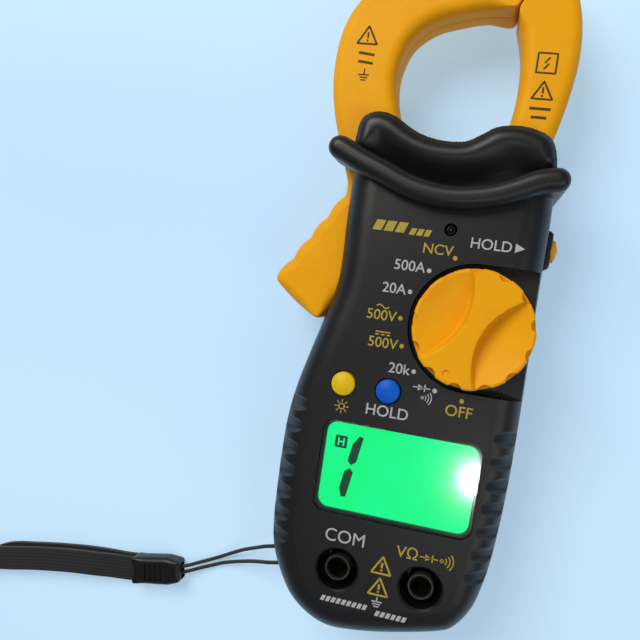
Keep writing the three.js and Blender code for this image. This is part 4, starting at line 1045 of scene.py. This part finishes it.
# buttons, lamp and sockets
def domed(radius, low, high, crown=0.5, edge=0.55):
    # closed profile of a button cap with a rounded edge and a slightly domed top
    rounded = [(radius - edge + edge * sin(t), high - crown - edge + edge * cos(t))
               for t in [pi / 2 * k / 5 for k in range(5, -1, -1)]]
    inner = [(radius - edge) * (1 - k / 5) for k in range(1, 5)]
    dome = [(r, high - crown * (r / (radius - edge)) ** 2) for r in inner]
    return [(0.001, low), (radius, low)] + rounded + dome + [(0.001, high)]


def makeButtons():
    for (x, y), name, paint in zip(case["buttons"], ("backlight", "hold"), ("lemon", "blue")):
        cap = lathed(name + "Cap", x, y, domed(2.7, 23.0, 27.5), paint, 56)
        flange = lathed(name + "Flange", x, y, pin(3.7, 22.4, 23.1), paint, 40)
        stem = lathed(name + "Stem", x, y, pin(1.5, 20.1, 22.5), paint, 24)
        piece = joinedUp(name + "Key", [cap, flange, stem])
        shade(piece, 35)
        settle(piece, name + "_key", paint + "_cap", name + "_button")
    parts = [lathed("sideCap", 0, 0, domed(2.55, 22.6, 27.8), "amber", 48),
             lathed("sideFlange", 0, 0, pin(3.2, 21.9, 22.7), "amber", 40)]
    piece = joinedUp("sideKey", parts)
    piece.data.transform(sideways(0, *case["sideKey"]))
    shade(piece, 35)
    settle(piece, "side_key", "amber_shell", "side_hold_button")
    x, y = case["lamp"]
    lamp = lathed("sensingLamp", x, y, domed(1.1, 15.4, 25.8, 0.6, 0.4), "black", 32)
    settle(lamp, "meter", "clear_plastic", "sensing_lamp")


def makeSockets():
    insulating = [(2.35, 12.9), (2.35, 24.5), (2.5, 24.8), (2.8, 24.8), (2.9, 24.65), (2.9, 13.1), (4.3, 13.1),
                  (4.3, 11.9), (1.2, 11.9), (1.2, 12.9)]
    plated = [(0.001, 13.2), (2.2, 13.2), (2.2, 24.3), (2.05, 24.5), (2.0, 24.2), (2.0, 14.3), (0.001, 14.3)]
    for (x, y), name in zip(case["sockets"], ("com", "volt")):
        sleeve = lathed("socketSleeve_" + name, x, y, insulating, "gloss", 72)
        settle(sleeve, "meter", "black_plastic", "socket_sleeve_" + name)
        contact = lathed("socketContact_" + name, x, y, plated, "brass", 64)
        settle(contact, "meter", "brass", "socket_contact_" + name)


makeButtons()
makeSockets()
print("buttons and sockets made")

# display
display = {"segmentZ": 23.33, "ink": 0.06, "digit": (-10.2, -36.9), "lean": 0.16, "height": 14.4, "stroke": 2.0}
def makeDisplay():
    x, y, width, height = case["window"]
    pane = roundBox(x, y, width - 1.4, height - 2.0, 2.7, 12)
    pane = raised("displayWindow", pane, 24.9, 25.75, "clear", 0, 0.25, 3)
    settle(pane, "meter", "clear_plastic", "display_window")
    panel = roundBox(x, y, width + 0.6, height + 0.4, 0.4, 3)
    panel = raised("displayPanel", panel, 21.9, 23.3, "display", 0, 0.1, 2)
    settle(panel, "meter", "display", "lcd_panel")
    z, ink = display["segmentZ"], display["ink"]
    cx, cy = display["digit"]
    lean, tall, half = display["lean"], display["height"], display["stroke"] / 2
    marks = []
    for sign in (1, -1):
        # one leaning stroke of a seven-segment digit, mitred at both ends
        y0, y1 = cy + sign * 0.35, cy + sign * tall / 2
        run = [(0, y0), (half, y0 + sign * 0.9), (half, y1 - sign * 0.2), (0, y1), (-half, y1 - sign * 2.0),
               (-half, y0 + sign * 0.9)]
        stroke = [Vector((cx + px + (py - cy) * lean, py, 0)) for px, py in run]
        marks.append(raised("stroke", stroke, z, z + ink, "segments"))
    bx, by = cx - 2.9, cy + tall / 2 - 1.9
    box = raised("holdBox", roundBox(bx, by, 2.8, 2.8, 0.25, 2), z, z + ink, "segments")
    letter = [roundBox(bx + dx, by, *size, 0.05, 1) for dx, size in (
        (-0.6, (0.36, 1.9)), (0.6, (0.36, 1.9)), (0, (1.0, 0.36)))]
    marks.append(carved(box, [raised("letter", loop, z - 1, z + 1) for loop in letter]))
    settle(joinedUp("displayMarks", marks), "meter", "display")


makeDisplay()


# printed marks: the face they lie on, and how far the ink reaches below and above it
printed = {"z": 26.0, "under": 0.01, "over": 0.05}
def words(text, x, y, size, paint, align="RIGHT", turn=0.0, z=26.0):
    curve = bpy.data.curves.new("words", "FONT")
    curve.body, curve.size, curve.extrude = text, size * mm, 0.03 * mm
    curve.align_x, curve.align_y = align, "CENTER"
    curve.offset = 0.02 * mm if size < 4 else 0
    holder = newObject("words", curve)
    bpy.context.view_layer.update()
    mesh = bpy.data.meshes.new_from_object(holder.evaluated_get(bpy.context.evaluated_depsgraph_get()))
    bpy.data.objects.remove(holder)
    mesh.transform(Matrix.Translation(Vector((x, y, z + 0.02)) * mm) @ Matrix.Rotation(radians(turn), 4, "Z"))
    mesh.materials.clear()
    mesh.materials.append(finish[paint])
    return newObject("words", mesh)


def patch(points, paint, z=printed["z"]):
    # a flat patch of ink
    loop = [Vector((*p, 0)[:3]) for p in points]
    return raised("patch", loop, z - printed["under"], z + printed["over"], paint)


def drawn(points, width, paint, z=printed["z"], closed=False):
    # a pen line of even width
    pts = [Vector((*p, 0)[:3]) for p in points]
    if not closed:
        return patch(strip(pts, width, False), paint, z)
    outer, inner = shrunk(anticlockwise(pts), -width / 2), shrunk(anticlockwise(pts), width / 2)
    count = len(pts)
    verts = [Vector((p.x, p.y, h)) for h in (z - printed["under"], z + printed["over"])
             for ring in (outer, inner) for p in ring]
    faces = []
    for i in range(count):
        a, b, c, d = i, (i + 1) % count, count + (i + 1) % count, count + i
        faces += [(d, c, b, a), (a + 2 * count, b + 2 * count, c + 2 * count, d + 2 * count),
                  (a, b, b + 2 * count, a + 2 * count), (c, d, d + 2 * count, c + 2 * count)]
    return meshObject("line", verts, faces, paint)


def strokes(lines, width, paint, z=printed["z"]):
    return [drawn(line, width, paint, z) for line in lines]


def triangle(x, y, size, paint, z=printed["z"], width=0.32):
    h = size * 0.5
    corners = [Vector((x - h, y - h * 0.8, 0)), Vector((x + h, y - h * 0.8, 0)), Vector((x, y + h * 0.95, 0))]
    return drawn(evenly(corners, size / 24, True), width, paint, z, True)


def earthMark(x, top, base, left, right, narrower, drop, width, paint, z=printed["z"]):
    bars = [[(left + narrower * k, base - drop * k), (right - narrower * k, base - drop * k)] for k in range(3)]
    return strokes([[(x, top), (x, base)]] + bars, width, paint, z)


def rangeMarks():
    cx, cy = case["dial"]
    reach, pen = 15.8, 0.28
    grey, gold = [], []
    dots = {"grey": [], "gold": []}
    labels = [("NCV", "gold", -0.6, 1.3), ("500A", "grey", -0.9, 0.4), ("20A", "grey", -0.9, 0.2),
              ("500V", "gold", -0.9, 0), ("500V", "gold", -0.9, 0), ("20k", "grey", -0.9, 0),
              (None, "grey", 0, 0), ("OFF", "gold", -0.3, -2.5)]
    for i, (label, paint, sx, sy) in enumerate(labels):
        angle = radians(22.5 * (i + 1))
        x, y = cx - reach * sin(angle), cy + reach * cos(angle)
        group = gold if paint == "gold" else grey
        dots[paint].append(Vector((x, y, 26.02)))
        if label == "OFF":
            group.append(words(label, x + sx, y + sy, 3.4, "goldInk", "CENTER"))
        elif label:
            group.append(words(label, x + sx, y + sy, 3.2, paint + "Ink"))
        if i == 3:
            wave = [(x - 5.6 + k * 0.4, y + 2.0 + 0.38 * sin(k * 0.9)) for k in range(8)]
            group.append(drawn(wave, pen, "goldInk"))
        if i == 4:
            dashes = [[(x - 6.2 + k * 1.25, y + 1.85), (x - 5.4 + k * 1.25, y + 1.85)] for k in range(3)]
            group += strokes([[(x - 6.2, y + 2.45), (x - 2.9, y + 2.45)]] + dashes, pen, "goldInk")
        if i == 6:
            grey += diodeMark(x - 2.9, y + 0.2, "greyInk") + soundMark(x - 1.7, y - 1.9, "greyInk", 0.8)
    for paint, group in (("grey", grey), ("gold", gold)):
        group.append(pegs("rangeDots", dots[paint], 0.5, 0.06, 0.0, 24, paint + "Ink"))
    return grey, gold


def diodeMark(x, y, paint, size=1.0):
    s = size
    arrow = patch([(x - 0.8 * s, y + 0.7 * s), (x - 0.8 * s, y - 0.7 * s), (x + 0.6 * s, y)], paint)
    return [arrow, drawn([(x - 1.9 * s, y), (x + 1.9 * s, y)], 0.24 * s, paint),
            drawn([(x + 0.7 * s, y - 0.8 * s), (x + 0.7 * s, y + 0.8 * s)], 0.28 * s, paint)]


def soundMark(x, y, paint, size=1.0):
    arcs = [disc(x - 0.9 * size, y, (1.0 + 0.75 * k) * size, 10, -42, 84) for k in range(3)]
    source = drawn(disc(x - 0.9 * size, y, 0.35 * size, 16), 0.2 * size, paint, closed=True)
    return [source] + strokes(arcs, 0.25 * size, paint)


def sunMark(x, y, paint):
    turns = [pi / 4 * k for k in range(8)]
    rays = [[(x + r * cos(a), y + r * sin(a)) for r in (0.95, 1.6)] for a in turns]
    return [drawn(disc(x, y, 0.62, 20), 0.26, paint, closed=True)] + strokes(rays, 0.24, paint)


def blocks(x, y, count, width, height, gap, paint="greyInk"):
    # leaning blocks that stand for words
    lean, half = height * 0.18, height / 2
    starts = [x + k * (width + gap) for k in range(count)]
    return [patch([(at - lean, y - half), (at + width - lean, y - half), (at + width + lean, y + half),
                   (at + lean, y + half)], paint) for at in starts]


def makeFaceMarks():
    grey, gold = rangeMarks()
    (bx, by), (hx, hy) = case["buttons"]
    gold += sunMark(bx + 0.3, by - 5.1, "goldInk")
    grey.append(words("HOLD", hx + 0.4, hy - 4.7, 3.5, "greyInk", "CENTER"))
    grey.append(words("HOLD", 17.6, 16.7, 3.2, "greyInk"))
    grey.append(patch([(18.2, 17.8), (18.2, 15.8), (20.2, 16.8)], "greyInk"))
    (cx, cy), (vx, vy) = case["sockets"]
    grey.append(words("COM", cx + 0.9, cy + 7.6, 4.1, "greyInk", "CENTER"))
    gold.append(words("VΩ", vx - 3.9, vy + 7.2, 3.6, "goldInk", "CENTER"))
    gold += diodeMark(vx + 0.9, vy + 7.2, "goldInk", 1.05) + soundMark(vx + 4.6, vy + 7.2, "goldInk", 1.0)
    for y in (cy + 3.2, cy - 1.7):
        gold.append(triangle(0.5, y, 4.4, "goldInk", width=0.42))
        gold += strokes([[(0.5, y + 0.7), (0.5, y - 0.5)], [(0.5, y - 0.8), (0.5, y - 1.2)]], 0.5, "goldInk")
    grey += earthMark(0.5, cy - 4.0, cy - 5.0, -0.7, 1.7, 0.3, 0.55, 0.26, "greyInk")
    grey += blocks(-12.0, cy - 6.9, 9, 0.85, 1.2, 0.35) + blocks(0.6, cy - 7.6, 6, 0.85, 1.2, 0.35)
    gold += blocks(-12.4, 18.2, 3, 2.0, 2.3, 0.5, "goldInk") + blocks(-4.4, 17.6, 3, 1.2, 1.5, 0.4, "goldInk")
    settle(joinedUp("faceMarksGrey", grey), "meter", "casing")
    settle(joinedUp("faceMarksGold", gold), "meter", "casing")


def makeJawMarks():
    # plain outlines and bars where such meters carry their ratings
    z, paint = jaws["front"], "jawInk"

    def warning(x, y, size, pen):
        stem = [[(x, y + 0.8), (x, y - 0.5)], [(x, y - 0.85), (x, y - 1.3)]]
        return [triangle(x, y, size, paint, z, pen)] + strokes(stem, 0.42, paint, z)

    moving = warning(-21.3, 61.3, 4.6, 0.45)
    moving += strokes([[(-22.9, 57.4), (-19.2, 57.0)], [(-22.8, 55.4), (-19.3, 55.1)]], 0.6, paint, z)
    moving += earthMark(-21.0, 53.9, 52.4, -22.3, -19.8, 0.35, 0.6, 0.3, paint, z)
    corners = [Vector((x, y, 0)) for x, y in ((16.9, 55.9), (21.0, 55.9), (21.0, 60.2), (16.9, 60.2))]
    square = evenly(corners, 0.25, True)
    fixed = warning(19.0, 52.0, 4.4, 0.42)
    fixed += [drawn(square, 0.4, paint, z, True),
              drawn([(19.5, 59.3), (18.5, 58.1), (19.4, 57.9), (18.4, 56.7)], 0.4, paint, z)]
    fixed += strokes([[(16.7, 48.1), (21.2, 48.1)], [(17.3, 46.2), (20.6, 46.2)]], 0.6, paint, z)
    settle(joinedUp("movingJawMarks", moving), "jaw", "amber_shell")
    settle(joinedUp("fixedJawMarks", fixed), "meter", "amber_shell")


makeFaceMarks()
makeJawMarks()
print("marks made")

# every other CAD node keeps its shape and takes its finish
nodeFinish = {
    "steel": ["case_screw_1", "case_screw_2", "case_screw_3", "case_screw_4", "battery_door_screw", "detent_spring",
              "return_spring", "battery_bridge", "battery_contact_1", "battery_contact_2", "battery_spring_1",
              "battery_spring_2"],
    "pinSteel": ["jaw_pivot_pin"],
    "laminations": ["moving_core", "fixed_core"],
    "white": ["coil_bobbin", "dial_rotor", "backlight_plate"],
    "copper": ["coil_winding"],
    "brass": ["dial_wiper", "buzzer"],
    "black": ["lcd_frame", "backlight_switch", "hold_switch", "side_switch", "measuring_chip", "battery_1",
              "battery_2"],
    "rubber": ["elastomer_strip"],
    "board": ["circuit_board"],
    "blue": ["input_resistor"],
}
for paint, names in nodeFinish.items():
    for name in names:
        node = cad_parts[name]
        node.data.materials.clear()
        node.data.materials.append(finish[paint])
print("nodes painted")

# floor and lights
# a light's row gives its name, place, size, power, colour and the point that it is aimed at
warm, white = (1.0, 0.96, 0.89), (1, 1, 1)
studio = {"sky": (0.80, 0.87, 1.0), "skyStrength": 0.22, "floor": 6, "lights": [
    ("key", (-260, 330, 520), 420, 3.0, warm, (0, -10, 20)),
    ("fill", (340, -160, 420), 380, 0.5, warm, (0, -10, 20)),
    ("glint", (34, -125, 412), 15, 0.08, white, (14.5, -39, 26))]}


def makeStudio():
    bpy.ops.mesh.primitive_plane_add(size=studio["floor"])
    floor = bpy.context.object
    floor.name = "floor"
    floor.data.materials.append(floorMaterial())
    world = bpy.data.worlds.new("sky")
    scene.world = world
    world.use_nodes = True
    background = world.node_tree.nodes["Background"]
    background.inputs[0].default_value = (*studio["sky"], 1)
    background.inputs[1].default_value = studio["skyStrength"]
    for name, place, size, power, colour, aim in studio["lights"]:
        data = bpy.data.lights.new(name, "AREA")
        data.shape, data.size, data.energy, data.color = "DISK", size * mm, power, colour
        light = newObject(name, data)
        light.location = Vector(place) * mm
        light.rotation_mode = "QUATERNION"
        light.rotation_quaternion = (Vector(place) - Vector(aim)).normalized().to_track_quat("Z", "Y")


makeStudio()
